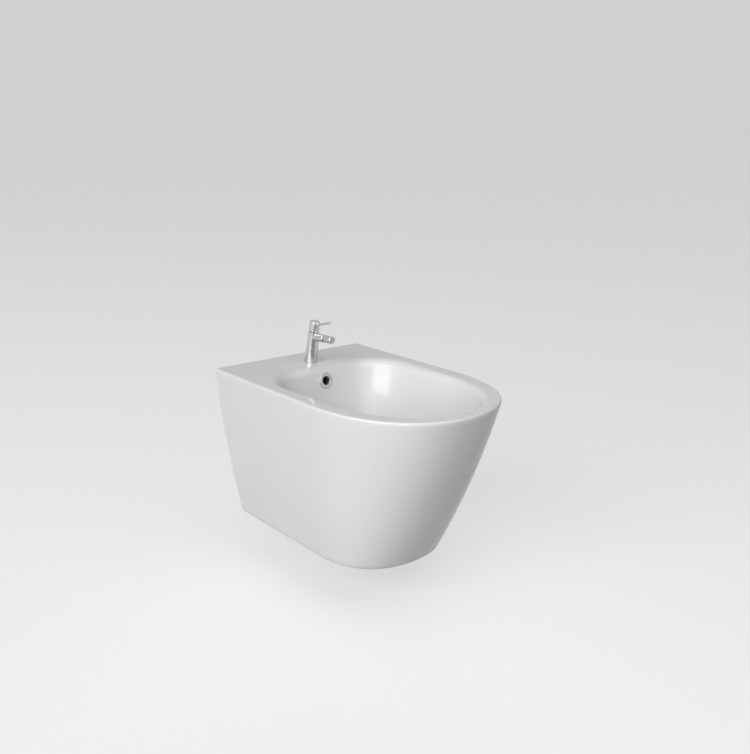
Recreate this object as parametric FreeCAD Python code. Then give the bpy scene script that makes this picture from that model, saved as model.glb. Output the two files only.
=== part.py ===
import FreeCAD, Part

import math
import os

from FreeCAD import Placement, Rotation, Vector

# A wall-hung bidet: one vitreous china body, its single-lever mixer, click waste, trap and fixings.
# Millimetres. X to the right as one faces the bidet, the wall is the plane Y = 0, the front points to -Y.
# The origin lies on the wall, midway between the two fixing holes.

# China body, outside
RIM_Z = 90.0
BODY_HEIGHT = 315.0
TOP_HALF_WIDTH = 180.0
TOP_DEPTH = 520.0
TOP_STRAIGHT = 300.0
TOP_FULLNESS = 0.6125
FOOT_HALF_WIDTH = 125.5
FOOT_DEPTH = 389.5
FOOT_STRAIGHT = 264.0
FOOT_FULLNESS = 0.64
WIDTH_TAPER_START = 0.67
DEPTH_TAPER_START = 0.71
WALL = 12.0
RIM_EDGE_RADIUS = 5.0

# China body, bowl
BOWL_HALF_WIDTH = 140.0
BOWL_REAR_Y = -115.0
BOWL_FRONT_Y = -494.0
BOWL_STRAIGHT = 300.0
BOWL_CORNER_RADIUS = 68.0
BOWL_FULLNESS = 0.6125
BOWL_DEPTH = 138.0
BOWL_DRAFT = 0.12
BOWL_ROUNDNESS = 2.6
BOWL_WALL = 11.0
BOWL_LIP_RADIUS = 14.0

# China body, rear web, deck and fixing bosses
REAR_WEB = 14.0
DECK_THICKNESS = 14.0
CEILING_DROP = 66.0
REAR_OPENING_HALF = 58.0
REAR_OPENING_TOP_Z = 10.0
REAR_OPENING_CORNER = 25.0
FIXING_SPACING = 180.0
FIXING_HOLE_RADIUS = 11.0
FIXING_BOSS_RADIUS = 24.0
FIXING_BOSS_DEPTH = 34.0

# Waste outlet and overflow in the china
WASTE_Y = -260.0
WASTE_HOLE_RADIUS = 22.5
WASTE_RECESS_RADIUS = 33.0
WASTE_RECESS_DEPTH = 3.0
WASTE_COLLAR_RADIUS = 35.0
OVERFLOW_DROP = 28.5
OVERFLOW_HOLE_RADIUS = 10.6
OVERFLOW_BORE_RADIUS = 8.8
OVERFLOW_RING_RADIUS = 16.5
OVERFLOW_RING_PLAY = 0.3
OVERFLOW_SLEEVE = 9.0
OVERFLOW_TRIM = 1.5
OVERFLOW_EDGE = 0.6
DUCT_HALF_WIDTH = 15.0
DUCT_GAP = 9.0
DUCT_WALL = 8.0
DUCT_CHAMBER_RADIUS = 28.0

# Mixer tap, heights measured along its leaning axis from the deck
TAP_Y = -70.0
TAP_LEAN = 9.3
TAP_BASE_RADIUS = 13.25
TAP_SHOULDER_RADIUS = 10.5
TAP_SHOULDER = 65.0
TAP_SHOULDER_ANGLE = 4.0
TAP_TOP = 86.6
TAP_TOP_RADIUS = 10.0
TAP_HOLE_RADIUS = 11.0
TAP_SEAT_DROP = 26.0
TAP_BOSS_RADIUS = 24.0
TAP_FOOT_GAP = 0.3
BASE_SEAL_INNER = 11.2
BASE_SEAL_OUTER = 12.5
BASE_SEAL_HEIGHT = 1.0
SPIGOT_RADIUS = 10.0
SPIGOT_DEPTH = 6.0

# Water inlets and fixing stud under the tap
INLET_RADIUS = 3.55
INLET_DEPTH = 12.0
INLET_LEAD_RADIUS = 3.9
INLET_LEAD = 6.8
INLET_X = 4.9
INLET_SETBACK = 2.5
CHANNEL_RADIUS = 1.8
PORT_X = 3.4
STUD_RADIUS = 2.5
STUD_SETBACK = -6.8
STUD_TOP_DEPTH = 10.0
STUD_LENGTH = 54.0
STUD_PLAY = 0.2
HORSESHOE_RADIUS = 17.0
HORSESHOE_PLAY = 2.0
HORSESHOE_SPACE = 16.0
HORSESHOE_SLOT_HALF = 9.2
HORSESHOE_SLOT_FRONT = -1.8
HORSESHOE_GASKET = 3.0
HORSESHOE_WASHER = 2.0
TAP_NUT_FLATS = 9.0
TAP_NUT_HEIGHT = 9.0

# Cartridge inside the tap
CARTRIDGE_FLOOR = 38.0
CARTRIDGE_BORE_RADIUS = 8.6
HOUSING_RADIUS = 7.6
HOUSING_TOP = 58.0
HOUSING_FLANGE = 3.0
DISC_FLOOR = 42.0
DISC_RADIUS = 6.5
DISC_THICKNESS = 3.0
CARRIER_RADIUS = 5.2
CARRIER_FLOOR = 48.3
CONTROL_DISC_RADIUS = 4.6
DRIVER_RADIUS = 2.2
DRIVER_TOP = 55.0
CARRIER_TOP = 61.5
SLOT_REAR = 3.8
SLOT_FRONT = -4.2
STEM_RADIUS = 2.3
STEM_TIP_RADIUS = 1.5
STEM_FOOT = 55.0
STEM_TOP = 78.0
PIVOT_PIN_RADIUS = 0.9
LEVER_PIVOT = 60.0
DOME_RADIUS = 9.2
DOME_WALL = 0.9
DOME_OPENING = 5.9
RING_NUT_PLAY = 0.4
RING_NUT_NOTCH_WIDTH = 2.0
RING_NUT_NOTCH_DEPTH = 1.5

# Lever cap and lever
CAP_GAP = 0.6
CAP_CUT_ANGLE = 12.0
CAP_SKIRT_BORE = 9.6
CAP_SKIRT_TOP = 74.0
CAP_CHAMBER_BORE = 8.6
CAP_ROOF = 3.0
CAP_EDGE_RADIUS = 1.0
HUB_RADIUS = 4.8
HUB_LOW = 70.0
GRUB_HEIGHT = 75.0
GRUB_RADIUS = 1.5
GRUB_SOCKET_RADIUS = 0.75
GRUB_HEAD_REACH = 7.0
PLUG_CAP_RADIUS = 1.8
PLUG_CAP_LENGTH = 1.4
LEVER_ROOT = 78.0
LEVER_RISE = 15.2
LEVER_START = 5.2
LEVER_LENGTH = 52.9
LEVER_ROOT_RADIUS = 2.2
LEVER_TIP_RADIUS = 3.0
LEVER_NECK = 40.0
LEVER_KNOB = 46.0
LEVER_END_RADIUS = 1.4

# Spout and swivelling nozzle, measured forwards from the tap axis
SPOUT_ROOT = 54.0
SPOUT_RISE = 4.0
SPOUT_RADIUS = 7.75
SPOUT_BORE_RADIUS = 6.0
SPOUT_LENGTH = 36.0
SPOUT_BEVEL = 0.6
BALL_FLANGE = 2.0
BALL_FLANGE_EDGE = 1.2
BALL_SPIGOT = 5.0
BALL_NECK_RADIUS = 3.6
BALL_BORE_RADIUS = 2.4
BALL_REACH = 45.0
BALL_RADIUS = 5.9
BALL_FRONT = 4.6
NOZZLE_REACH = 61.0
NOZZLE_RADIUS = 7.5
NOZZLE_BEVEL = 0.7
COLLAR_LENGTH = 2.2
COLLAR_BEVEL = 0.5
NOZZLE_BACK = 0.6
SWIVEL_SEAL_WALL = 0.6
SWIVEL_SEAL_LOW = 1.2
SWIVEL_SEAL_HIGH = 3.0
SOCKET_MOUTH = 4.7
THROAT_RADIUS = 4.4
INSERT_RADIUS = 6.4
INSERT_DEPTH = 8.0
INSERT_RECESS = 0.8
INSERT_HOLE_RADIUS = 1.1
INSERT_HOLE_CIRCLE = 3.6
INSERT_HOLE_COUNT = 6

# Click waste
SEAL_THICKNESS = 1.5
FLANGE_RADIUS = 31.0
FLANGE_THICKNESS = 2.5
FLANGE_EDGE = 0.75
DISH_RADIUS = 24.0
DISH_DEPTH = 5.0
WASTE_TUBE_RADIUS = 21.0
WASTE_TUBE_BORE = 18.6
WASTE_TUBE_LENGTH = 63.0
SLOT_WIDTH = 10.0
SLOT_COUNT = 4
SLOT_MARGIN = 1.0
BRIDGE_RISE = 16.5
BRIDGE_HEIGHT = 5.0
BRIDGE_WIDTH = 4.0
BRIDGE_ARMS = 3
BRIDGE_HUB_RADIUS = 7.5
GUIDE_RADIUS = 6.0
GUIDE_FLANGE_RADIUS = 8.0
GUIDE_FLANGE = 2.5
GUIDE_ABOVE = 25.0
GUIDE_BELOW = 8.0
PLUG_STEM_RADIUS = 3.0
PLUG_RADIUS = 22.0
PLUG_RIM = 2.5
PLUG_CROWN = 1.2
PLUG_BOSS_RADIUS = 17.0
PLUG_BOSS_DEPTH = 4.0
PLUG_STEM_LENGTH = 36.5
PLUG_SEAL_RADIUS = 18.8
PLUG_SEAL_DROP = 1.0
PLUG_SEAL_HEIGHT = 2.0
PLUG_SEAL_GROOVE = 1.0
NUT_SEAL_THICKNESS = 3.0
BACKNUT_FLATS = 52.0
BACKNUT_HEIGHT = 9.0
WASTE_SEAL_RADIUS = 30.0

# Bottle trap and outlet pipe
PIPE_RADIUS = 16.0
PIPE_BORE = 14.4
INLET_NUT_RADIUS = 27.0
INLET_NUT_OVERLAP = 12.5
NUT_LIP = 6.5
INLET_SEAL = 2.5
INLET_FLANGE = 2.5
INLET_FLANGE_RADIUS = 20.6
TRAP_RADIUS = 33.0
TRAP_WALL = 2.5
TRAP_NECK = 19.5
TRAP_HEAD_HEIGHT = 50.0
TRAP_COVER = 4.0
DIP_REACH = 17.0
CUP_SKIRT = 11.0
CUP_DEPTH = 34.0
CUP_EDGE_RADIUS = 6.0
CUP_EDGE_BEVEL = 1.8
CUP_SEAL = 3.0
OUTLET_DROP = 19.0
OUTLET_STUB_RADIUS = 18.5
OUTLET_STUB_REACH = 57.0
OUTLET_SEAL = 3.0
OUTLET_NUT_RADIUS = 23.0
OUTLET_NUT_OVERLAP = 15.0
PIPE_INSERTION = 14.0
PIPE_MARK_DEPTH = 0.4
PIPE_MARK_WIDTH = 2.0
PIPE_MARK_GAP = 3.0
GRIP_COUNT = 12
GRIP_RADIUS = 2.0
GRIP_OFFSET = 1.0
NUT_PIPE_PLAY = 0.4

# Wall fixings
BUSH_BORE = 6.25
BUSH_FLANGE_RADIUS = 16.0
BUSH_FLANGE = 3.0
WASHER_RADIUS = 15.0
WASHER_BORE = 6.5
WASHER_THICKNESS = 2.5
FIXING_NUT_HEIGHT = 10.0
FIXING_NUT_FLATS = 19.0

# Clearances, and how far a cut runs past the face that it opens
FIT = 0.1
RUNNING = 0.05
OVERSHOOT = 5.0
SHORT_OVERSHOOT = 1.0

X_AXIS = Vector(1, 0, 0)
Y_AXIS = Vector(0, 1, 0)
Z_AXIS = Vector(0, 0, 1)


def rod(radius, start, end):
    return Part.makeCylinder(radius, (end - start).Length, start, end - start)


def upright(radius, x, y, low, high):
    return rod(radius, Vector(x, y, low), Vector(x, y, high))


def pipe(outer, inner, start, end):
    reach = (end - start).normalize() * OVERSHOOT
    return rod(outer, start, end).cut(rod(inner, start - reach, end + reach))


def ring(outer, inner, x, y, low, high):
    return pipe(outer, inner, Vector(x, y, low), Vector(x, y, high))


def box(low, high):
    size = high - low
    return Part.makeBox(size.x, size.y, size.z, low)


def turned(points):
    """Solid of revolution about Z from (radius, height) points."""
    outline = Part.makePolygon([Vector(r, 0, z) for r, z in points + points[:1]])
    return Part.Face(outline).revolve(Vector(0, 0, 0), Z_AXIS, 360)


def hexagon(flats, x, y, low, high):
    corner = flats / math.sqrt(3)
    points = []
    for degrees in range(0, 361, 60):
        angle = math.radians(degrees)
        points.append(Vector(x + corner * math.cos(angle), y + corner * math.sin(angle), low))
    return Part.Face(Part.makePolygon(points)).extrude(Vector(0, 0, high - low))


def gripped(nut, radius, low, high):
    """Cuts finger grooves into a nut that stands on Z."""
    for i in range(GRIP_COUNT):
        angle = 2 * math.pi * i / GRIP_COUNT
        x = radius * math.cos(angle)
        y = radius * math.sin(angle)
        nut = nut.cut(upright(GRIP_RADIUS, x, y, low - OVERSHOOT, high + OVERSHOOT))
    return nut


def placed(shape, frame):
    moved = shape.copy()
    moved.Placement = frame.multiply(moved.Placement)
    return moved


def front_bow(half_width, straight, depth, fullness, z):
    """Front curve from the right side round the nose to the left side, in two fair quarters."""
    bow = depth - straight
    edges = []
    for side in (1, -1):
        quarter = Part.BezierCurve()
        poles = [
            Vector(side * half_width, -straight, z),
            Vector(side * half_width, -straight - fullness * bow, z),
            Vector(side * half_width * fullness, -depth, z),
            Vector(0, -depth, z),
        ]
        quarter.setPoles(poles if side == 1 else poles[::-1])
        edges.append(quarter.toShape())
    return edges


def body_section(fraction, inset, rear, height=None):
    """Outline of the body at a share of its height, drawn in by inset, closed along Y = rear."""
    across = WIDTH_TAPER_START * fraction + (1 - WIDTH_TAPER_START) * fraction ** 2
    along = DEPTH_TAPER_START * fraction + (1 - DEPTH_TAPER_START) * fraction ** 2
    half = TOP_HALF_WIDTH + (FOOT_HALF_WIDTH - TOP_HALF_WIDTH) * across - inset
    depth = TOP_DEPTH + (FOOT_DEPTH - TOP_DEPTH) * along - inset
    straight = TOP_STRAIGHT + (FOOT_STRAIGHT - TOP_STRAIGHT) * along
    fullness = TOP_FULLNESS + (FOOT_FULLNESS - TOP_FULLNESS) * fraction
    z = RIM_Z - BODY_HEIGHT * fraction if height is None else height
    right_rear = Vector(half, rear, z)
    left_rear = Vector(-half, rear, z)
    edges = [Part.makeLine(right_rear, Vector(half, -straight, z))]
    edges += front_bow(half, straight, depth, fullness, z)
    edges.append(Part.makeLine(Vector(-half, -straight, z), left_rear))
    edges.append(Part.makeLine(left_rear, right_rear))
    return Part.Wire(edges)


def body_loft(top_fraction, inset, rear, levels, ruled):
    fractions = [top_fraction + (1 - top_fraction) * i / (levels - 1) for i in range(levels)]
    return Part.makeLoft([body_section(f, inset, rear) for f in fractions], True, ruled)


def rounding(radius, steps=3):
    """Steps of a quarter round: how far each lies from the side, and how far above its start."""
    angles = [math.pi / 2 * i / steps for i in range(steps + 1)]
    return [(radius * (1 - math.cos(a)), radius * math.sin(a)) for a in angles]


def behind_wall(low, high):
    """Everything on the wall's side of the plane Y = 0."""
    side = TOP_HALF_WIDTH + OVERSHOOT
    return box(Vector(-side, 0, low), Vector(side, 2 * OVERSHOOT, high))


def outer_body():
    """The outside of the china, with its top edge rounded and a plane back on the wall."""
    start = RIM_EDGE_RADIUS / BODY_HEIGHT
    low = RIM_Z - RIM_EDGE_RADIUS
    edge = []
    for inwards, up in rounding(RIM_EDGE_RADIUS):
        edge.append(body_section(start, inwards, OVERSHOOT, low + up))
    body = body_loft(start, 0, OVERSHOOT, 3, False).fuse(Part.makeLoft(edge, True, True))
    return body.cut(behind_wall(FOOT_Z - OVERSHOOT, RIM_Z + OVERSHOOT))


def bowl_scale(share):
    """How far the bowl has drawn in towards the waste at a share of its depth."""
    return (1 - BOWL_DRAFT * share) * (1 - share ** BOWL_ROUNDNESS) ** (1 / BOWL_ROUNDNESS)


def bowl_section(share, grow, height=None):
    """Outline of the bowl at a share of its depth, grown outwards."""
    k = bowl_scale(share)
    half = BOWL_HALF_WIDTH * k + grow
    rear = WASTE_Y + (BOWL_REAR_Y - WASTE_Y) * k + grow
    depth = -WASTE_Y + (WASTE_Y - BOWL_FRONT_Y) * k + grow
    straight = -WASTE_Y + (BOWL_STRAIGHT + WASTE_Y) * k
    corner = BOWL_CORNER_RADIUS * k + grow
    z = RIM_Z - share * (BOWL_DEPTH + grow) if height is None else height
    knee = corner * math.sqrt(0.5)
    right = Vector(half, rear - corner, z)
    left = Vector(-half, rear - corner, z)
    right_in = Vector(half - corner, rear, z)
    left_in = Vector(corner - half, rear, z)
    right_knee = Vector(half - corner + knee, rear - corner + knee, z)
    left_knee = Vector(corner - half - knee, rear - corner + knee, z)
    edges = [Part.makeLine(right, Vector(half, -straight, z))]
    edges += front_bow(half, straight, depth, BOWL_FULLNESS, z)
    edges.append(Part.makeLine(Vector(-half, -straight, z), left))
    edges.append(Part.Arc(left, left_knee, left_in).toShape())
    edges.append(Part.makeLine(left_in, right_in))
    edges.append(Part.Arc(right_in, right_knee, right).toShape())
    return Part.Wire(edges)


def bowl_loft(top_share, grow, shares, ruled):
    return Part.makeLoft([bowl_section(s, grow) for s in [top_share] + shares], True, ruled)


def bowl_outside(grow):
    """The bowl's outside, or the outside of the duct on it, in plainer steps."""
    return bowl_loft(0, grow, [0.4, 0.7, 0.9, 0.99], True)


def bowl_hollow():
    """The inside of the bowl, flared at the top by the rolled lip."""
    start = BOWL_LIP_RADIUS / BOWL_DEPTH
    low = RIM_Z - BOWL_LIP_RADIUS
    lip = [bowl_section(start, outwards, low + up) for outwards, up in rounding(BOWL_LIP_RADIUS, 5)]
    hollow = bowl_loft(start, 0, [0.25, 0.4, 0.54, 0.67, 0.79, 0.88, 0.95, 0.99], True)
    return hollow.fuse(Part.makeLoft(lip, True, True))


def overflow_frame():
    """Centre of the overflow hole on the bowl's rear wall, and the direction out of the wall."""
    share = OVERFLOW_DROP / BOWL_DEPTH
    step = 0.01
    slope = (bowl_scale(share - step) - bowl_scale(share + step)) * (BOWL_REAR_Y - WASTE_Y)
    slope = slope / (2 * step * BOWL_DEPTH)
    centre = Vector(0, WASTE_Y + (BOWL_REAR_Y - WASTE_Y) * bowl_scale(share), RIM_Z - OVERFLOW_DROP)
    return centre, Vector(0, -1, slope).normalize()


FLOOR_Z = RIM_Z - BOWL_DEPTH
WASTE_SEAT_Z = FLOOR_Z - WASTE_RECESS_DEPTH
CHAMBER_TOP_Z = FLOOR_Z - BOWL_WALL
CHAMBER_LOW_Z = CHAMBER_TOP_Z - DUCT_GAP
COLLAR_LOW_Z = CHAMBER_LOW_Z - DUCT_WALL
DECK_LOW_Z = RIM_Z - TAP_SEAT_DROP
FOOT_Z = RIM_Z - BODY_HEIGHT


def hollow_underside():
    """The space under the china, with a ceiling that falls towards the front."""
    space = body_loft(0, WALL, -REAR_WEB, 6, True)
    far = -TOP_DEPTH
    ceiling = RIM_Z - DECK_THICKNESS
    above = Part.makePolygon([
        Vector(0, OVERSHOOT, ceiling),
        Vector(0, far, ceiling - CEILING_DROP),
        Vector(0, far, RIM_Z + OVERSHOOT),
        Vector(0, OVERSHOOT, RIM_Z + OVERSHOOT),
        Vector(0, OVERSHOOT, ceiling),
    ])
    wedge = Part.Face(above).extrude(Vector(2 * TOP_HALF_WIDTH, 0, 0))
    wedge.translate(Vector(-TOP_HALF_WIDTH, 0, 0))
    return space.cut(wedge)


def rear_opening():
    """Arched opening in the rear web for the supplies and the outlet pipe."""
    half = REAR_OPENING_HALF
    top = REAR_OPENING_TOP_Z
    r = REAR_OPENING_CORNER
    knee = r * (1 - math.sqrt(0.5))
    y = OVERSHOOT
    low = FOOT_Z - OVERSHOOT
    left_side = Vector(-half, y, top - r)
    left_knee = Vector(-half + knee, y, top - knee)
    left_top = Vector(r - half, y, top)
    right_top = Vector(half - r, y, top)
    right_knee = Vector(half - knee, y, top - knee)
    right_side = Vector(half, y, top - r)
    left_foot = Vector(-half, y, low)
    right_foot = Vector(half, y, low)
    outline = Part.Wire([
        Part.makeLine(left_foot, left_side),
        Part.Arc(left_side, left_knee, left_top).toShape(),
        Part.makeLine(left_top, right_top),
        Part.Arc(right_top, right_knee, right_side).toShape(),
        Part.makeLine(right_side, right_foot),
        Part.makeLine(right_foot, left_foot),
    ])
    return Part.Face(outline).extrude(Vector(0, -REAR_WEB - 2 * OVERSHOOT, 0))


def behind_waste(grow, half_width, top):
    """The part of a grown bowl that lies behind the waste, within a width and under a height."""
    limits = box(Vector(-half_width, WASTE_Y, COLLAR_LOW_Z - OVERSHOOT), Vector(half_width, 0, top))
    return bowl_outside(grow).common(limits)


def overflow_duct():
    """Outside and channel of the duct that leads the overflow down to the waste."""
    centre, outwards = overflow_frame()
    channel_top = centre.z + OVERFLOW_HOLE_RADIUS
    inner = BOWL_WALL + DUCT_GAP
    outside = behind_waste(inner + DUCT_WALL, DUCT_HALF_WIDTH + DUCT_WALL, channel_top + DUCT_WALL)
    channel = behind_waste(inner, DUCT_HALF_WIDTH, channel_top).cut(bowl_outside(BOWL_WALL))
    return outside, channel


def ceramic_body():
    shell = outer_body().cut(hollow_underside())
    duct, channel = overflow_duct()
    bosses = [upright(TAP_BOSS_RADIUS, 0, TAP_Y, DECK_LOW_Z, RIM_Z - RIM_EDGE_RADIUS)]
    bosses.append(upright(WASTE_COLLAR_RADIUS, 0, WASTE_Y, COLLAR_LOW_Z, FLOOR_Z))
    for x in (-FIXING_SPACING / 2, FIXING_SPACING / 2):
        bosses.append(rod(FIXING_BOSS_RADIUS, Vector(x, 0, 0), Vector(x, -FIXING_BOSS_DEPTH, 0)))
    bowl_wall = bowl_outside(BOWL_WALL).common(outer_body())
    solid = shell.fuse([bowl_wall, duct] + bosses)
    chamber = upright(DUCT_CHAMBER_RADIUS, 0, WASTE_Y, CHAMBER_LOW_Z, CHAMBER_TOP_Z)
    centre, outwards = overflow_frame()
    cuts = [bowl_hollow(), channel, chamber, rear_opening()]
    cuts.append(upright(WASTE_HOLE_RADIUS, 0, WASTE_Y, COLLAR_LOW_Z - OVERSHOOT, RIM_Z))
    cuts.append(upright(WASTE_RECESS_RADIUS, 0, WASTE_Y, WASTE_SEAT_Z, RIM_Z))
    cuts.append(upright(TAP_HOLE_RADIUS, 0, TAP_Y, DECK_LOW_Z - OVERSHOOT, RIM_Z + OVERSHOOT))
    seat = HORSESHOE_RADIUS + HORSESHOE_PLAY
    cuts.append(upright(seat, 0, TAP_Y, DECK_LOW_Z - HORSESHOE_SPACE, DECK_LOW_Z))
    behind = centre - outwards * (BOWL_WALL + DUCT_GAP / 2)
    before = centre + outwards * OVERSHOOT
    cuts.append(rod(OVERFLOW_HOLE_RADIUS, behind, before))
    cuts.append(rod(OVERFLOW_RING_RADIUS + OVERFLOW_RING_PLAY, centre, before))
    for x in (-FIXING_SPACING / 2, FIXING_SPACING / 2):
        reach = Vector(x, -FIXING_BOSS_DEPTH - OVERSHOOT, 0)
        cuts.append(rod(FIXING_HOLE_RADIUS, Vector(x, OVERSHOOT, 0), reach))
    return solid.cut(cuts)


def overflow_ring():
    """Trim ring whose sleeve pushes into the overflow hole."""
    centre, outwards = overflow_frame()
    sleeve_outer = OVERFLOW_HOLE_RADIUS - OVERFLOW_RING_PLAY
    trim = turned([
        (OVERFLOW_BORE_RADIUS, -OVERFLOW_SLEEVE),
        (sleeve_outer, -OVERFLOW_SLEEVE),
        (sleeve_outer, 0),
        (OVERFLOW_RING_RADIUS, 0),
        (OVERFLOW_RING_RADIUS, OVERFLOW_EDGE),
        (OVERFLOW_RING_RADIUS - OVERFLOW_TRIM, OVERFLOW_TRIM),
        (OVERFLOW_BORE_RADIUS + OVERFLOW_EDGE, OVERFLOW_TRIM),
        (OVERFLOW_BORE_RADIUS, OVERFLOW_TRIM - OVERFLOW_EDGE),
    ])
    return placed(trim, Placement(centre, Rotation(Z_AXIS, outwards)))


TAP_FRAME = Placement(Vector(0, TAP_Y, RIM_Z), Rotation(X_AXIS, TAP_LEAN))
SPOUT_FRAME = Placement(TAP_FRAME.multVec(Vector(0, 0, SPOUT_ROOT)), Rotation(X_AXIS, 90 - SPOUT_RISE))
LEVER_FRAME = Placement(TAP_FRAME.multVec(Vector(0, 0, LEVER_ROOT)), Rotation(X_AXIS, 90 - LEVER_RISE))
SPIGOT_LOW_Z = RIM_Z - SPIGOT_DEPTH


def tap_radius(height):
    return TAP_BASE_RADIUS + (TAP_SHOULDER_RADIUS - TAP_BASE_RADIUS) * height / TAP_SHOULDER


def beside_cut(angle, height, side):
    """All that lies above (side 1) or below (side -1) a cut that rises backwards from the front edge."""
    half = TAP_TOP
    block = box(Vector(-half, -half, min(0, side * half)), Vector(half, half, max(0, side * half)))
    block.rotate(Vector(0, 0, 0), X_AXIS, angle)
    block.translate(Vector(0, -TAP_SHOULDER_RADIUS, height))
    return block


def tap_body():
    """Leaning tapered body, cut level at the deck, with its spigot, water ways and cartridge bore."""
    low = -OVERSHOOT
    high = TAP_SHOULDER + OVERSHOOT
    cone = Part.makeCone(tap_radius(low), tap_radius(high), high - low, Vector(0, 0, low))
    body = placed(cone.cut(beside_cut(TAP_SHOULDER_ANGLE, TAP_SHOULDER, 1)), TAP_FRAME)
    reach = 2 * TAP_BASE_RADIUS
    foot_z = RIM_Z + TAP_FOOT_GAP
    deck = box(Vector(-reach, TAP_Y - reach, RIM_Z - reach), Vector(reach, TAP_Y + reach, foot_z))
    body = body.cut(deck)
    body = body.fuse(upright(SPIGOT_RADIUS, 0, TAP_Y, SPIGOT_LOW_Z, foot_z + OVERSHOOT))
    groove_top = RIM_Z + BASE_SEAL_HEIGHT
    cuts = [ring(BASE_SEAL_OUTER + FIT, BASE_SEAL_INNER - FIT, 0, TAP_Y, RIM_Z, groove_top)]
    cuts.append(placed(upright(CARTRIDGE_BORE_RADIUS, 0, 0, CARTRIDGE_FLOOR, TAP_TOP), TAP_FRAME))
    cuts.append(placed(upright(SPOUT_RADIUS + RUNNING, 0, 0, 0, 2 * SPOUT_RADIUS), SPOUT_FRAME))
    lead_top = SPIGOT_LOW_Z + INLET_LEAD
    port_top = lead_top + INLET_DEPTH
    for side in (-1, 1):
        x = side * INLET_X
        y = TAP_Y + INLET_SETBACK
        cuts.append(upright(INLET_LEAD_RADIUS, x, y, SPIGOT_LOW_Z - OVERSHOOT, lead_top))
        cuts.append(upright(INLET_RADIUS, x, y, lead_top, port_top))
        way_top = TAP_FRAME.multVec(Vector(side * PORT_X, 0, CARTRIDGE_FLOOR + SHORT_OVERSHOOT))
        cuts.append(rod(CHANNEL_RADIUS, Vector(x, y, port_top - SHORT_OVERSHOOT), way_top))
    stud_top = SPIGOT_LOW_Z + STUD_TOP_DEPTH
    stud_y = TAP_Y + STUD_SETBACK
    cuts.append(upright(STUD_RADIUS + FIT, 0, stud_y, SPIGOT_LOW_Z - OVERSHOOT, stud_top + FIT))
    return body.cut(cuts)


def tap_base_seal():
    return ring(BASE_SEAL_OUTER, BASE_SEAL_INNER, 0, TAP_Y, RIM_Z, RIM_Z + BASE_SEAL_HEIGHT)


def spout_tube():
    tube = turned([
        (SPOUT_BORE_RADIUS, SPOUT_RADIUS),
        (SPOUT_RADIUS, SPOUT_RADIUS),
        (SPOUT_RADIUS, SPOUT_LENGTH - SPOUT_BEVEL),
        (SPOUT_RADIUS - SPOUT_BEVEL, SPOUT_LENGTH),
        (SPOUT_BORE_RADIUS, SPOUT_LENGTH),
    ])
    bore = placed(upright(CARTRIDGE_BORE_RADIUS + FIT, 0, 0, CARTRIDGE_FLOOR, TAP_TOP), TAP_FRAME)
    return placed(tube, SPOUT_FRAME).cut(bore)


def swivel_ball():
    """Ball stub screwed into the spout, with a flange, a neck and a bored ball."""
    stub = turned([
        (BALL_BORE_RADIUS, SPOUT_LENGTH - BALL_SPIGOT),
        (SPOUT_BORE_RADIUS - FIT, SPOUT_LENGTH - BALL_SPIGOT),
        (SPOUT_BORE_RADIUS - FIT, SPOUT_LENGTH),
        (SPOUT_RADIUS - SPOUT_BEVEL, SPOUT_LENGTH),
        (SPOUT_RADIUS - SPOUT_BEVEL, SPOUT_LENGTH + BALL_FLANGE_EDGE),
        (BALL_NECK_RADIUS, SPOUT_LENGTH + BALL_FLANGE),
        (BALL_NECK_RADIUS, BALL_REACH),
        (BALL_BORE_RADIUS, BALL_REACH),
    ])
    ball = Part.makeSphere(BALL_RADIUS, Vector(0, 0, BALL_REACH))
    face = BALL_REACH + BALL_FRONT
    ball = ball.common(upright(2 * BALL_RADIUS, 0, 0, BALL_REACH - BALL_RADIUS, face))
    bore = upright(BALL_BORE_RADIUS, 0, 0, BALL_REACH - BALL_RADIUS, face + OVERSHOOT)
    return placed(stub.fuse(ball).cut(bore), SPOUT_FRAME)


def around_ball(radius):
    return Part.makeSphere(radius, Vector(0, 0, BALL_REACH))


def swivel_seal():
    """Rubber zone between the ball and its socket."""
    inner = BALL_RADIUS + RUNNING
    zone = around_ball(inner + SWIVEL_SEAL_WALL).cut(around_ball(inner))
    limits = upright(2 * BALL_RADIUS, 0, 0, BALL_REACH + SWIVEL_SEAL_LOW, BALL_REACH + SWIVEL_SEAL_HIGH)
    return placed(zone.common(limits), SPOUT_FRAME)


def nozzle_collar():
    """Ring behind the ball that holds the nozzle on it."""
    front = BALL_REACH - NOZZLE_BACK
    back = front - COLLAR_LENGTH
    collar = turned([
        (0, back),
        (NOZZLE_RADIUS - COLLAR_BEVEL, back),
        (NOZZLE_RADIUS, back + COLLAR_BEVEL),
        (NOZZLE_RADIUS, front),
        (0, front),
    ])
    return placed(collar.cut(around_ball(BALL_RADIUS + RUNNING)), SPOUT_FRAME)


def nozzle_shell():
    """Swivelling nozzle: a ball socket behind, a throat, and a pocket for the aerator in front."""
    back = BALL_REACH - NOZZLE_BACK
    pocket = NOZZLE_REACH - INSERT_DEPTH
    shell = turned([
        (0, back),
        (NOZZLE_RADIUS, back),
        (NOZZLE_RADIUS, NOZZLE_REACH - NOZZLE_BEVEL),
        (NOZZLE_RADIUS - NOZZLE_BEVEL, NOZZLE_REACH),
        (0, NOZZLE_REACH),
    ])
    socket = around_ball(BALL_RADIUS + SWIVEL_SEAL_WALL + 2 * RUNNING)
    socket = socket.common(upright(2 * BALL_RADIUS, 0, 0, back - OVERSHOOT, BALL_REACH + SOCKET_MOUTH))
    throat = upright(THROAT_RADIUS, 0, 0, BALL_REACH, pocket + SHORT_OVERSHOOT)
    recess = upright(INSERT_RADIUS + FIT, 0, 0, pocket, NOZZLE_REACH + OVERSHOOT)
    return placed(shell.cut([socket, throat, recess]), SPOUT_FRAME)


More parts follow.
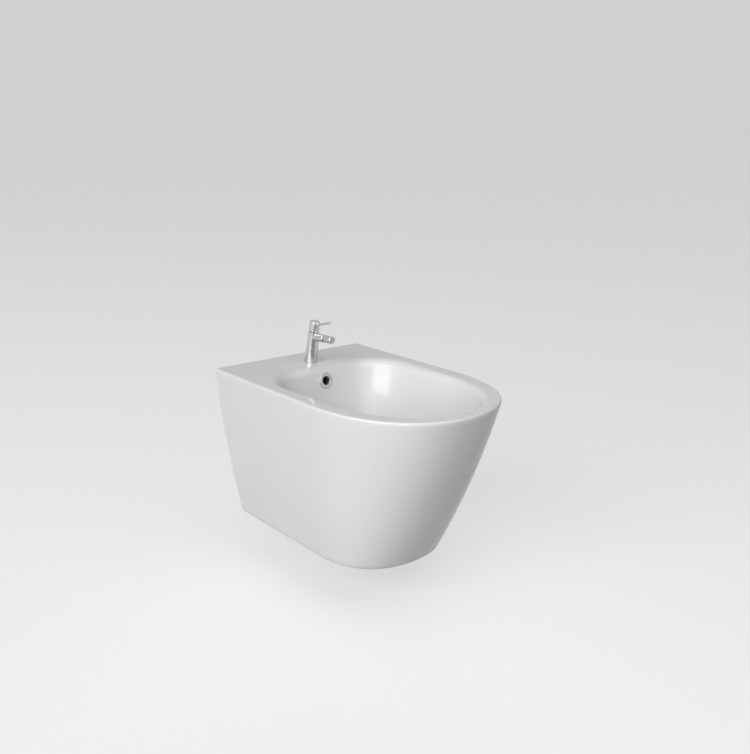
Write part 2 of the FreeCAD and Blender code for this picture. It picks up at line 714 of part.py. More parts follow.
def aerator_insert():
    """Perforated insert that fills the nozzle's mouth."""
    low = NOZZLE_REACH - INSERT_DEPTH
    high = NOZZLE_REACH - INSERT_RECESS
    insert = upright(INSERT_RADIUS, 0, 0, low, high)
    centres = [(0, 0)]
    for i in range(INSERT_HOLE_COUNT):
        angle = 2 * math.pi * i / INSERT_HOLE_COUNT
        centres.append((INSERT_HOLE_CIRCLE * math.cos(angle), INSERT_HOLE_CIRCLE * math.sin(angle)))
    holes = [upright(INSERT_HOLE_RADIUS, x, y, low - OVERSHOOT, high + OVERSHOOT) for x, y in centres]
    return placed(insert.cut(holes), SPOUT_FRAME)


def water_ways(low, high):
    """The hot and the cold way, side by side, through a level piece in the tap."""
    start = low - SHORT_OVERSHOOT
    return [upright(CHANNEL_RADIUS, side * PORT_X, 0, start, high + SHORT_OVERSHOOT) for side in (-1, 1)]


def cartridge_housing():
    """Plastic case of the cartridge, flanged at both ends, open on top for the carrier."""
    flange = CARTRIDGE_BORE_RADIUS - FIT
    case = turned([
        (0, CARTRIDGE_FLOOR),
        (flange, CARTRIDGE_FLOOR),
        (flange, CARTRIDGE_FLOOR + HOUSING_FLANGE),
        (HOUSING_RADIUS, CARTRIDGE_FLOOR + HOUSING_FLANGE),
        (HOUSING_RADIUS, HOUSING_TOP - HOUSING_FLANGE),
        (flange, HOUSING_TOP - HOUSING_FLANGE),
        (flange, HOUSING_TOP),
        (CARRIER_RADIUS + RUNNING, HOUSING_TOP),
        (CARRIER_RADIUS + RUNNING, DISC_FLOOR + 2 * DISC_THICKNESS),
        (DISC_RADIUS + FIT, DISC_FLOOR + 2 * DISC_THICKNESS),
        (DISC_RADIUS + FIT, DISC_FLOOR),
        (0, DISC_FLOOR),
    ])
    return placed(case.cut(water_ways(CARTRIDGE_FLOOR, DISC_FLOOR)), TAP_FRAME)


def fixed_disc():
    """Ceramic disc with the two inlets, at rest in the housing."""
    top = DISC_FLOOR + DISC_THICKNESS
    disc = upright(DISC_RADIUS, 0, 0, DISC_FLOOR, top)
    return placed(disc.cut(water_ways(DISC_FLOOR, top)), TAP_FRAME)


def control_disc():
    """Ceramic disc that slides and turns on the fixed one, with the socket that the stem drives."""
    low = DISC_FLOOR + DISC_THICKNESS
    high = low + DISC_THICKNESS
    disc = upright(CONTROL_DISC_RADIUS, 0, 0, low, high)
    disc = disc.fuse(upright(DRIVER_RADIUS, 0, 0, high, DRIVER_TOP))
    bore = STEM_TIP_RADIUS + FIT
    return placed(disc.cut(upright(bore, 0, 0, STEM_FOOT - bore, DRIVER_TOP + OVERSHOOT)), TAP_FRAME)


def stem_carrier():
    """Turning carrier with the slot in which the stem tilts."""
    carrier = upright(CARRIER_RADIUS, 0, 0, CARRIER_FLOOR, CARRIER_TOP)
    half = STEM_RADIUS + FIT
    low = CARRIER_FLOOR - OVERSHOOT
    slot = box(Vector(-half, SLOT_FRONT, low), Vector(half, SLOT_REAR, CARRIER_TOP + OVERSHOOT))
    return placed(carrier.cut([slot, pivot_hole(PIVOT_PIN_RADIUS + RUNNING / 2)]), TAP_FRAME)


def pivot_hole(radius):
    reach = 2 * CARRIER_RADIUS
    return rod(radius, Vector(-reach, 0, LEVER_PIVOT), Vector(reach, 0, LEVER_PIVOT))


def stem_pin():
    half = CARRIER_RADIUS - FIT
    pin = rod(PIVOT_PIN_RADIUS, Vector(-half, 0, LEVER_PIVOT), Vector(half, 0, LEVER_PIVOT))
    return placed(pin, TAP_FRAME)


def cartridge_stem():
    """Steel stem that pivots on the pin, with a rounded foot for the control disc."""
    stem = turned([
        (0, STEM_FOOT),
        (STEM_TIP_RADIUS, STEM_FOOT),
        (STEM_RADIUS, LEVER_PIVOT - STEM_RADIUS),
        (STEM_RADIUS, STEM_TOP),
        (0, STEM_TOP),
    ])
    stem = stem.fuse(Part.makeSphere(STEM_TIP_RADIUS, Vector(0, 0, STEM_FOOT)))
    return placed(stem.cut(pivot_hole(PIVOT_PIN_RADIUS + RUNNING)), TAP_FRAME)


def cartridge_nut():
    """Brass ring nut that clamps the cartridge, with four wrench notches."""
    bore = CARRIER_RADIUS + RING_NUT_PLAY
    nut = ring(CARTRIDGE_BORE_RADIUS - FIT, bore, 0, 0, HOUSING_TOP, CARRIER_TOP)
    half = RING_NUT_NOTCH_WIDTH / 2
    low = CARRIER_TOP - RING_NUT_NOTCH_DEPTH
    for angle in (0, 90):
        notch = box(Vector(-TAP_TOP, -half, low), Vector(TAP_TOP, half, CARRIER_TOP + OVERSHOOT))
        notch.rotate(Vector(0, 0, 0), Z_AXIS, angle)
        nut = nut.cut(notch)
    return placed(nut, TAP_FRAME)


def dome_cover():
    """Polished dome over the cartridge, on which the cap tilts clear."""
    centre = Vector(0, 0, LEVER_PIVOT)
    shell = Part.makeSphere(DOME_RADIUS, centre).cut(Part.makeSphere(DOME_RADIUS - DOME_WALL, centre))
    shell = shell.common(upright(DOME_RADIUS, 0, 0, TAP_SHOULDER - DOME_WALL, TAP_TOP))
    skirt = CARTRIDGE_BORE_RADIUS - FIT
    shell = shell.fuse(ring(skirt, skirt - 2 * DOME_WALL, 0, 0, CARRIER_TOP, TAP_SHOULDER))
    return placed(shell.cut(upright(DOME_OPENING, 0, 0, CARTRIDGE_FLOOR, TAP_TOP)), TAP_FRAME)


def lever_cap():
    """Cap with an oblique lower edge, a hollow inside and a hub for the stem."""
    skirt_low = TAP_SHOULDER + CAP_GAP
    roof = TAP_TOP - CAP_ROOF
    foot = Vector(0, 0, skirt_low)
    cap = Part.makeCone(TAP_SHOULDER_RADIUS, TAP_TOP_RADIUS, TAP_TOP - skirt_low, foot)
    top_edges = [e for e in cap.Edges if e.BoundBox.ZMin > roof]
    cap = cap.makeFillet(CAP_EDGE_RADIUS, top_edges)
    below = beside_cut(CAP_CUT_ANGLE, skirt_low, -1)
    hollow = upright(CAP_SKIRT_BORE, 0, 0, TAP_SHOULDER - OVERSHOOT, CAP_SKIRT_TOP)
    hollow = hollow.fuse(upright(CAP_CHAMBER_BORE, 0, 0, CAP_SKIRT_TOP - SHORT_OVERSHOOT, roof))
    hollow = hollow.cut(upright(HUB_RADIUS, 0, 0, HUB_LOW, roof + OVERSHOOT))
    cap = placed(cap.cut([below, hollow]), TAP_FRAME)
    socket = upright(STEM_RADIUS + RUNNING, 0, 0, HUB_LOW - OVERSHOOT, STEM_TOP + FIT)
    on_axis = Vector(0, 0, GRUB_HEIGHT)
    grub = rod(GRUB_RADIUS + RUNNING, on_axis, on_axis + Y_AXIS * (HUB_RADIUS + SHORT_OVERSHOOT))
    access_start = on_axis + Y_AXIS * GRUB_HEAD_REACH
    access = rod(PLUG_CAP_RADIUS + RUNNING, access_start, on_axis + Y_AXIS * TAP_TOP)
    lever = placed(upright(LEVER_ROOT_RADIUS + RUNNING, 0, 0, LEVER_START, LEVER_NECK), LEVER_FRAME)
    return cap.cut([placed(drill, TAP_FRAME) for drill in (socket, grub, access)] + [lever])


def lever_pin():
    pin = turned([
        (0, LEVER_START),
        (LEVER_ROOT_RADIUS, LEVER_START),
        (LEVER_ROOT_RADIUS, LEVER_NECK),
        (LEVER_TIP_RADIUS, LEVER_KNOB),
        (LEVER_TIP_RADIUS, LEVER_LENGTH),
        (0, LEVER_LENGTH),
    ])
    end = [e for e in pin.Edges if e.BoundBox.ZMin > LEVER_KNOB]
    return placed(pin.makeFillet(LEVER_END_RADIUS, end), LEVER_FRAME)


def lever_grub_screw():
    start = Vector(0, STEM_RADIUS + RUNNING, GRUB_HEIGHT)
    screw = rod(GRUB_RADIUS, start, Vector(0, GRUB_HEAD_REACH, GRUB_HEIGHT))
    socket = rod(GRUB_SOCKET_RADIUS, Vector(0, HUB_RADIUS, GRUB_HEIGHT), Vector(0, TAP_TOP, GRUB_HEIGHT))
    return placed(screw.cut(socket), TAP_FRAME)


def grub_plug():
    """Small plug that closes the access hole at the back of the cap."""
    start = Vector(0, CAP_CHAMBER_BORE, GRUB_HEIGHT)
    plug = rod(PLUG_CAP_RADIUS, start, start + Y_AXIS * PLUG_CAP_LENGTH)
    return placed(plug, TAP_FRAME)


def mounting_stud():
    top = SPIGOT_LOW_Z + STUD_TOP_DEPTH
    return upright(STUD_RADIUS, 0, TAP_Y + STUD_SETBACK, top - STUD_LENGTH, top)


def horseshoe(high, thickness):
    """Horseshoe plate round the supply ways, held by the stud."""
    low = high - thickness
    plate = upright(HORSESHOE_RADIUS, 0, TAP_Y, low, high)
    half = HORSESHOE_SLOT_HALF
    near = Vector(-half, TAP_Y + HORSESHOE_SLOT_FRONT, low - OVERSHOOT)
    far = Vector(half, TAP_Y + 2 * HORSESHOE_RADIUS, high + OVERSHOOT)
    hole = upright(STUD_RADIUS + STUD_PLAY, 0, TAP_Y + STUD_SETBACK, low - OVERSHOOT, high + OVERSHOOT)
    return plate.cut([box(near, far), hole])


def horseshoe_gasket():
    return horseshoe(DECK_LOW_Z, HORSESHOE_GASKET)


def horseshoe_washer():
    return horseshoe(DECK_LOW_Z - HORSESHOE_GASKET, HORSESHOE_WASHER)


def tap_nut():
    high = DECK_LOW_Z - HORSESHOE_GASKET - HORSESHOE_WASHER
    low = high - TAP_NUT_HEIGHT
    y = TAP_Y + STUD_SETBACK
    nut = hexagon(TAP_NUT_FLATS, 0, y, low, high)
    return nut.cut(upright(STUD_RADIUS + FIT, 0, y, low - OVERSHOOT, high + OVERSHOOT))


WASTE_FRAME = Placement(Vector(0, WASTE_Y, 0), Rotation())
FLANGE_LOW_Z = WASTE_SEAT_Z + SEAL_THICKNESS
FLANGE_TOP_Z = FLANGE_LOW_Z + FLANGE_THICKNESS
TUBE_END_Z = FLANGE_LOW_Z - WASTE_TUBE_LENGTH
BRIDGE_LOW_Z = TUBE_END_Z + BRIDGE_RISE
BRIDGE_TOP_Z = BRIDGE_LOW_Z + BRIDGE_HEIGHT
PLUG_LOW_Z = FLANGE_TOP_Z - SEAL_THICKNESS


def waste_body():
    """Flanged outlet tube with overflow slots and a bridge that carries the click unit."""
    body = turned([
        (WASTE_TUBE_BORE, TUBE_END_Z),
        (WASTE_TUBE_RADIUS, TUBE_END_Z),
        (WASTE_TUBE_RADIUS, FLANGE_LOW_Z),
        (FLANGE_RADIUS, FLANGE_LOW_Z),
        (FLANGE_RADIUS, FLANGE_LOW_Z + FLANGE_EDGE),
        (FLANGE_RADIUS - FLANGE_THICKNESS, FLANGE_TOP_Z),
        (DISH_RADIUS, FLANGE_TOP_Z),
        (WASTE_TUBE_BORE, FLANGE_TOP_Z - DISH_DEPTH),
    ])
    half = SLOT_WIDTH / 2
    for i in range(SLOT_COUNT):
        far = Vector(2 * WASTE_TUBE_RADIUS, half, CHAMBER_TOP_Z - SLOT_MARGIN)
        slot = box(Vector(0, -half, CHAMBER_LOW_Z + SLOT_MARGIN), far)
        slot.rotate(Vector(0, 0, 0), Z_AXIS, 360 * (i + 0.5) / SLOT_COUNT)
        body = body.cut(slot)
    hub = upright(BRIDGE_HUB_RADIUS, 0, 0, BRIDGE_LOW_Z, BRIDGE_TOP_Z)
    for i in range(BRIDGE_ARMS):
        half = BRIDGE_WIDTH / 2
        reach = (WASTE_TUBE_BORE + WASTE_TUBE_RADIUS) / 2
        arm = box(Vector(0, -half, BRIDGE_LOW_Z), Vector(reach, half, BRIDGE_TOP_Z))
        arm.rotate(Vector(0, 0, 0), Z_AXIS, 360 * i / BRIDGE_ARMS)
        hub = hub.fuse(arm)
    hub = hub.cut(upright(GUIDE_RADIUS + FIT, 0, 0, BRIDGE_LOW_Z - OVERSHOOT, BRIDGE_TOP_Z + OVERSHOOT))
    return placed(body.fuse(hub), WASTE_FRAME)


def waste_seal_upper():
    return ring(WASTE_SEAL_RADIUS, WASTE_TUBE_RADIUS + FIT, 0, WASTE_Y, WASTE_SEAT_Z, FLANGE_LOW_Z)


def waste_seal_lower():
    low = COLLAR_LOW_Z - NUT_SEAL_THICKNESS
    return ring(WASTE_SEAL_RADIUS, WASTE_TUBE_RADIUS + FIT, 0, WASTE_Y, low, COLLAR_LOW_Z)


def waste_backnut():
    high = COLLAR_LOW_Z - NUT_SEAL_THICKNESS
    low = high - BACKNUT_HEIGHT
    nut = hexagon(BACKNUT_FLATS, 0, WASTE_Y, low, high)
    return nut.cut(upright(WASTE_TUBE_RADIUS + FIT, 0, WASTE_Y, low - OVERSHOOT, high + OVERSHOOT))


def click_guide():
    """Brass click unit, screwed into the bridge, that guides the plug's stem."""
    bore = PLUG_STEM_RADIUS + RUNNING
    guide = turned([
        (bore, BRIDGE_LOW_Z - GUIDE_BELOW + BRIDGE_HEIGHT),
        (GUIDE_RADIUS, BRIDGE_LOW_Z - GUIDE_BELOW + BRIDGE_HEIGHT),
        (GUIDE_RADIUS, BRIDGE_TOP_Z),
        (GUIDE_FLANGE_RADIUS, BRIDGE_TOP_Z),
        (GUIDE_FLANGE_RADIUS, BRIDGE_TOP_Z + GUIDE_FLANGE),
        (GUIDE_RADIUS, BRIDGE_TOP_Z + GUIDE_FLANGE),
        (GUIDE_RADIUS, BRIDGE_TOP_Z + GUIDE_ABOVE),
        (bore, BRIDGE_TOP_Z + GUIDE_ABOVE),
    ])
    return placed(guide, WASTE_FRAME)


def waste_plug():
    """Domed plug with its seal boss and stem, shown closed."""
    boss_low = PLUG_LOW_Z - PLUG_BOSS_DEPTH
    seal_top = PLUG_LOW_Z - PLUG_SEAL_DROP
    seal_low = seal_top - PLUG_SEAL_HEIGHT
    neck = PLUG_BOSS_RADIUS - PLUG_SEAL_GROOVE
    plug = turned([
        (0, boss_low - PLUG_STEM_LENGTH),
        (PLUG_STEM_RADIUS, boss_low - PLUG_STEM_LENGTH),
        (PLUG_STEM_RADIUS, boss_low),
        (PLUG_BOSS_RADIUS, boss_low),
        (PLUG_BOSS_RADIUS, seal_low),
        (neck, seal_low),
        (neck, seal_top),
        (PLUG_BOSS_RADIUS, seal_top),
        (PLUG_BOSS_RADIUS, PLUG_LOW_Z),
        (PLUG_RADIUS, PLUG_LOW_Z),
        (PLUG_RADIUS, PLUG_LOW_Z + PLUG_RIM),
        (0, PLUG_LOW_Z + PLUG_RIM),
    ])
    top = PLUG_LOW_Z + PLUG_RIM
    dome_radius = (PLUG_RADIUS ** 2 + PLUG_CROWN ** 2) / (2 * PLUG_CROWN)
    dome = Part.makeSphere(dome_radius, Vector(0, 0, top + PLUG_CROWN - dome_radius))
    crown = dome.common(upright(PLUG_RADIUS, 0, 0, top, top + 2 * PLUG_CROWN))
    return placed(plug.fuse(crown), WASTE_FRAME)


def plug_seal():
    high = PLUG_LOW_Z - PLUG_SEAL_DROP
    inner = PLUG_BOSS_RADIUS - PLUG_SEAL_GROOVE
    return ring(PLUG_SEAL_RADIUS, inner, 0, WASTE_Y, high - PLUG_SEAL_HEIGHT, high)


INLET_SEAL_LOW_Z = TUBE_END_Z - INLET_SEAL
INLET_FLANGE_LOW_Z = INLET_SEAL_LOW_Z - INLET_FLANGE
TRAP_TOP_Z = INLET_FLANGE_LOW_Z - TRAP_NECK
TRAP_HEAD_LOW_Z = TRAP_TOP_Z - TRAP_HEAD_HEIGHT
TRAP_CEILING_Z = TRAP_TOP_Z - TRAP_COVER
DIP_LOW_Z = TRAP_HEAD_LOW_Z - DIP_REACH
CUP_BOTTOM_Z = TRAP_HEAD_LOW_Z - CUP_DEPTH
OUTLET_Z = TRAP_TOP_Z - OUTLET_DROP
OUTLET_FRAME = Placement(Vector(0, WASTE_Y, OUTLET_Z), Rotation(X_AXIS, -90))


def trap_inlet_nut():
    """Hand nut that pulls the trap's inlet flange up against the waste."""
    low = INLET_FLANGE_LOW_Z - NUT_LIP
    high = TUBE_END_Z + INLET_NUT_OVERLAP
    nut = turned([
        (PIPE_RADIUS + NUT_PIPE_PLAY, low),
        (INLET_NUT_RADIUS, low),
        (INLET_NUT_RADIUS, high),
        (WASTE_TUBE_RADIUS + FIT, high),
        (WASTE_TUBE_RADIUS + FIT, INLET_FLANGE_LOW_Z),
        (PIPE_RADIUS + NUT_PIPE_PLAY, INLET_FLANGE_LOW_Z),
    ])
    return placed(gripped(nut, INLET_NUT_RADIUS + GRIP_OFFSET, low, high), WASTE_FRAME)


def trap_inlet_seal():
    return ring(INLET_FLANGE_RADIUS, PIPE_BORE, 0, WASTE_Y, INLET_SEAL_LOW_Z, TUBE_END_Z)


def trap_head():
    """Upper half of the bottle trap: inlet flange, dip tube, cover and outlet stub in one moulding."""
    shell = turned([
        (PIPE_RADIUS, TRAP_TOP_Z),
        (TRAP_RADIUS - TRAP_WALL, TRAP_TOP_Z),
        (TRAP_RADIUS, TRAP_TOP_Z - TRAP_WALL),
        (TRAP_RADIUS, TRAP_HEAD_LOW_Z),
        (TRAP_RADIUS - TRAP_WALL, TRAP_HEAD_LOW_Z),
        (TRAP_RADIUS - TRAP_WALL, TRAP_CEILING_Z),
        (PIPE_RADIUS, TRAP_CEILING_Z),
    ])
    dip = ring(PIPE_RADIUS, PIPE_BORE, 0, 0, DIP_LOW_Z, INLET_SEAL_LOW_Z)
    flange = ring(INLET_FLANGE_RADIUS, PIPE_BORE, 0, 0, INLET_FLANGE_LOW_Z, INLET_SEAL_LOW_Z)
    shell = placed(shell.fuse([dip, flange]), WASTE_FRAME)
    inner_start = TRAP_RADIUS - 2 * TRAP_WALL
    stub = placed(upright(OUTLET_STUB_RADIUS, 0, 0, inner_start, OUTLET_STUB_REACH), OUTLET_FRAME)
    stub = stub.cut(upright(TRAP_RADIUS - TRAP_WALL, 0, WASTE_Y, CUP_BOTTOM_Z, TRAP_CEILING_Z))
    past_stub = OUTLET_STUB_REACH + OVERSHOOT
    way = placed(upright(PIPE_BORE, 0, 0, PIPE_RADIUS, past_stub), OUTLET_FRAME)
    socket_start = OUTLET_STUB_REACH - PIPE_INSERTION
    socket = placed(upright(PIPE_RADIUS + FIT, 0, 0, socket_start, past_stub), OUTLET_FRAME)
    way = way.cut(upright(PIPE_RADIUS, 0, WASTE_Y, DIP_LOW_Z, TRAP_TOP_Z))
    return shell.fuse(stub).cut([way, socket])


def trap_cup():
    """Screw-on cup that holds the water seal."""
    high = TRAP_HEAD_LOW_Z + CUP_SKIRT
    step = TRAP_HEAD_LOW_Z - CUP_SEAL
    outer = TRAP_RADIUS + FIT + TRAP_WALL
    inner = TRAP_RADIUS - TRAP_WALL
    cup = turned([
        (0, CUP_BOTTOM_Z),
        (outer - CUP_EDGE_RADIUS, CUP_BOTTOM_Z),
        (outer - CUP_EDGE_BEVEL, CUP_BOTTOM_Z + CUP_EDGE_BEVEL),
        (outer, CUP_BOTTOM_Z + CUP_EDGE_RADIUS),
        (outer, high),
        (TRAP_RADIUS + FIT, high),
        (TRAP_RADIUS + FIT, step),
        (inner, step),
        (inner, CUP_BOTTOM_Z + 2 * TRAP_WALL),
        (inner - TRAP_WALL, CUP_BOTTOM_Z + TRAP_WALL),
        (0, CUP_BOTTOM_Z + TRAP_WALL),
    ])
    return placed(gripped(cup, outer + GRIP_OFFSET, step - CUP_SKIRT, high), WASTE_FRAME)


def cup_seal():
    low = TRAP_HEAD_LOW_Z - CUP_SEAL
    return ring(TRAP_RADIUS, TRAP_RADIUS - TRAP_WALL, 0, WASTE_Y, low, TRAP_HEAD_LOW_Z)


def trap_outlet_seal():
    high = OUTLET_STUB_REACH + OUTLET_SEAL
    seal = ring(OUTLET_STUB_RADIUS, PIPE_RADIUS + FIT, 0, 0, OUTLET_STUB_REACH, high)
    return placed(seal, OUTLET_FRAME)


def trap_outlet_nut():
    """Hand nut that squeezes the outlet seal round the pipe."""
    low = OUTLET_STUB_REACH - OUTLET_NUT_OVERLAP
    lip = OUTLET_STUB_REACH + OUTLET_SEAL
    high = lip + NUT_LIP
    nut = turned([
        (OUTLET_STUB_RADIUS + FIT, low),
        (OUTLET_NUT_RADIUS, low),
        (OUTLET_NUT_RADIUS, high),
        (PIPE_RADIUS + NUT_PIPE_PLAY, high),
        (PIPE_RADIUS + NUT_PIPE_PLAY, lip),
        (OUTLET_STUB_RADIUS + FIT, lip),
    ])
    return placed(gripped(nut, OUTLET_NUT_RADIUS + GRIP_OFFSET, low, high), OUTLET_FRAME)


def outlet_pipe():
    """Outlet pipe that ends at the wall, with a groove that marks how far it goes into the trap."""
    start = OUTLET_STUB_REACH - PIPE_INSERTION
    mark = OUTLET_STUB_REACH + OUTLET_SEAL + NUT_LIP + PIPE_MARK_GAP
    mark_end = mark + PIPE_MARK_WIDTH
    tube = ring(PIPE_RADIUS, PIPE_BORE, 0, 0, start + FIT, -WASTE_Y)
    groove = ring(PIPE_RADIUS + OVERSHOOT, PIPE_RADIUS - PIPE_MARK_DEPTH, 0, 0, mark, mark_end)
    return placed(tube.cut(groove), OUTLET_FRAME)


def at_fixings(solid):
    """The same piece at both wall fixings, modelled along Z and laid to point forwards."""
    pair = []
    for x in (-FIXING_SPACING / 2, FIXING_SPACING / 2):
        pair.append(placed(solid, Placement(Vector(x, 0, 0), Rotation(X_AXIS, 90))))
    return Part.makeCompound(pair)


BUSH_END = FIXING_BOSS_DEPTH + BUSH_FLANGE
WASHER_END = BUSH_END + WASHER_THICKNESS


def fixing_bushes():
    sleeve = FIXING_HOLE_RADIUS - FIT
    return at_fixings(turned([
        (BUSH_BORE, 0),
        (sleeve, 0),
        (sleeve, FIXING_BOSS_DEPTH),
        (BUSH_FLANGE_RADIUS, FIXING_BOSS_DEPTH),
        (BUSH_FLANGE_RADIUS, BUSH_END),
        (BUSH_BORE, BUSH_END),
    ]))


def fixing_washers():
    return at_fixings(ring(WASHER_RADIUS, WASHER_BORE, 0, 0, BUSH_END, WASHER_END))


def fixing_nuts():
    high = WASHER_END + FIXING_NUT_HEIGHT
    nut = hexagon(FIXING_NUT_FLATS, 0, 0, WASHER_END, high)
    return at_fixings(nut.cut(upright(BUSH_BORE, 0, 0, WASHER_END - OVERSHOOT, high + OVERSHOOT)))


PIECES = [
    ceramic_body, overflow_ring,
    tap_body, tap_base_seal,
    spout_tube, swivel_ball, swivel_seal, nozzle_collar, nozzle_shell, aerator_insert,
    cartridge_housing, fixed_disc, control_disc, stem_carrier, stem_pin, cartridge_stem, cartridge_nut,
    dome_cover, lever_cap, lever_pin, lever_grub_screw, grub_plug,
    mounting_stud, horseshoe_gasket, horseshoe_washer, tap_nut,
    waste_body, waste_seal_upper, waste_seal_lower, waste_backnut, click_guide, waste_plug, plug_seal,
    trap_inlet_nut, trap_inlet_seal, trap_head, trap_cup, cup_seal,
    trap_outlet_seal, trap_outlet_nut, outlet_pipe,
    fixing_bushes, fixing_washers, fixing_nuts,
]

os.makedirs("parts", exist_ok=True)
for piece in PIECES:
    shape = piece()
    shape.exportStep("parts/" + piece.__name__ + ".step")
    print(piece.__name__, shape.isValid(), len(shape.Solids), round(shape.Volume, 1))
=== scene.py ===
import math

import bmesh
import bpy
from mathutils import Matrix, Vector


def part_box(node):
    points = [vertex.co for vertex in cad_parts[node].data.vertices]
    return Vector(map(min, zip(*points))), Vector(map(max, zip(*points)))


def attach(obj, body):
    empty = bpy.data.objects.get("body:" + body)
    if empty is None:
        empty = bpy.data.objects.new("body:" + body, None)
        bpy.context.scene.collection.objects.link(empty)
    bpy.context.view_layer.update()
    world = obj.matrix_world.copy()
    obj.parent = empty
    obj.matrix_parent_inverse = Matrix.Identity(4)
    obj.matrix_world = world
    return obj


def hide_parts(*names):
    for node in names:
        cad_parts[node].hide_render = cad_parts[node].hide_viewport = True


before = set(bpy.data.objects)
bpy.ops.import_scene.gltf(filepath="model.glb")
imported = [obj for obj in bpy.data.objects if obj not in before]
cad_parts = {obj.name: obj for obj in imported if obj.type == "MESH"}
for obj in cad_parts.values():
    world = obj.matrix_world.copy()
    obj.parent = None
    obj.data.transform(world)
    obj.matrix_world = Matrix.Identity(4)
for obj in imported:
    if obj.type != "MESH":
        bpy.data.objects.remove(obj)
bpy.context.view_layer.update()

# The china body is one hollow slip-cast piece of vitreous china: a D-shaped bowl with a level deck
# behind it, inside a skirt that draws in towards the foot. It is dipped in white glaze and fired, and only
# the faces that stand in the kiln or meet the wall stay bare. Two studs through its rear web carry it.
china_low, china_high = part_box("ceramic_body")
RIM = china_high[2]
FOOT = china_low[2]
HEIGHT = RIM - FOOT
SKIRT_RIM = {"half": 0.180, "depth": 0.520, "straight": 0.300}
SKIRT_FOOT = {"half": 0.1255, "depth": 0.3895, "straight": 0.264}
DRAFT_ACROSS = (0.67, 0.33)
DRAFT_ALONG = (0.71, 0.29)
BOW_FULLNESS, FOOT_GAINS_FULLNESS = 0.6125, 0.0275
REAR_STRETCH = 0.4
RIM_EDGE, EDGE_TIGHTNESS, HEEL_EDGE = 0.005, 0.66, 0.003
WALL, WEB, BOWL_WALL = 0.012, 0.014, 0.011

WASTE_BACK = -0.260
WASTE_SEAT, WASTE_SEAT_RADIUS, WASTE_HOLE_RADIUS = -0.051, 0.033, 0.0225
WASTE_COLLAR_RADIUS, WASTE_COLLAR_FOOT, WASTE_COLLAR_TOP = 0.035, -0.076, -0.040
OVERFLOW_DROP, OVERFLOW_RADIUS, RING_SEAT_RADIUS = 0.0285, 0.0106, 0.0168
CHANNEL_HALF, CHANNEL_GAP = 0.015, 0.009
DUCT_HALF, DUCT_GROW, DUCT_ROOF = 0.023, 0.028, 0.008
FIXINGS, FIXING_HOLE_RADIUS, FIXING_BOSS_REACH = (-0.090, 0.090), 0.011, 0.034
TAP_BACK, TAP_HOLE_RADIUS, TAP_SEAT_RADIUS, TAP_SEAT = -0.070, 0.011, 0.019, 0.064
BOSS_RADIUS = 0.024

BOWL_DEPTH, BOWL_FLOOR_SHARE = 0.138, 0.985
BOWL_HALF, BOWL_BEHIND_WASTE, BOWL_BEFORE_WASTE = 0.140, 0.145, 0.234
BOWL_STRAIGHT, BOWL_CORNER = 0.040, 0.068
BOWL_DRAFT, BOWL_SQUARENESS = 0.12, 2.6
LIP, REAR_LIP_OUT = 0.013, 0.017
WIDE_LIP_OUT, WIDE_LIP_DOWN = 0.021, 0.018
ROUND_POINTS = {"rear": 8, "corner": 10, "side": 26, "bow": 44}

# How far the forms that hollow and drill the china start past it: at the wall, under the foot, in the holes.
PAST, UNDER = 0.005, 0.010
FIXING_DRILL_PAST, TAP_SEAT_UNDER, TAP_DRILL, WASTE_DRILL = 0.011, 0.048, (0.050, 0.100), (-0.090, -0.045)
OVERFLOW_INSIDE, OVERFLOW_OUTSIDE = 0.0155, 0.010


def bow_point(half, straight, depth, fullness, t):
    """A point of the front curve, from the side at t = 0 to the nose at t = 1."""
    bow = depth - straight
    a, b, c, d = (1 - t) ** 3, 3 * t * (1 - t) ** 2, 3 * t * t * (1 - t), t ** 3
    x = a * half + b * half + c * half * fullness
    y = -straight - b * fullness * bow - (c + d) * bow
    return x, y


def mirrored_round(right_half):
    """A closed outline from its right half, which starts and ends on the middle plane."""
    return right_half + [(-x, *rest) for x, *rest in reversed(right_half[1:-1])]


def skirt_outline(fraction, inset, rear=0.0):
    """Outside of the skirt at a share of its height, from the rim down, drawn in by an inset."""
    across = DRAFT_ACROSS[0] * fraction + DRAFT_ACROSS[1] * fraction ** 2
    along = DRAFT_ALONG[0] * fraction + DRAFT_ALONG[1] * fraction ** 2
    half = SKIRT_RIM["half"] + (SKIRT_FOOT["half"] - SKIRT_RIM["half"]) * across - inset
    depth = SKIRT_RIM["depth"] + (SKIRT_FOOT["depth"] - SKIRT_RIM["depth"]) * along - inset
    straight = SKIRT_RIM["straight"] + (SKIRT_FOOT["straight"] - SKIRT_RIM["straight"]) * along
    fullness = BOW_FULLNESS + FOOT_GAINS_FULLNESS * fraction
    turning = REAR_STRETCH * straight
    count = ROUND_POINTS
    points = [(half * i / count["rear"], rear) for i in range(count["rear"])]
    points += [(half, rear + (-turning - rear) * i / count["corner"]) for i in range(count["corner"])]
    points += [(half, -turning - (straight - turning) * i / count["side"]) for i in range(count["side"])]
    points += [bow_point(half, straight, depth, fullness, i / count["bow"]) for i in range(count["bow"] + 1)]
    return mirrored_round(points)


def bowl_point(part, t, share, grow):
    """A point of the bowl's wall between its back and its nose, at a share of the depth, grown outwards."""
    k = (1 - BOWL_DRAFT * share) * (1 - share ** BOWL_SQUARENESS) ** (1 / BOWL_SQUARENESS)
    half = BOWL_HALF * k + grow
    rear = WASTE_BACK + BOWL_BEHIND_WASTE * k + grow
    depth = -WASTE_BACK + BOWL_BEFORE_WASTE * k + grow
    straight = -WASTE_BACK + BOWL_STRAIGHT * k
    corner = BOWL_CORNER * k + grow
    turn = math.pi / 2 * t
    if part == "rear":
        return (half - corner) * t, rear
    if part == "corner":
        return half - corner + corner * math.sin(turn), rear - corner + corner * math.cos(turn)
    if part == "side":
        return half, (rear - corner) * (1 - t) - straight * t
    return bow_point(half, straight, depth, BOW_FULLNESS, t)


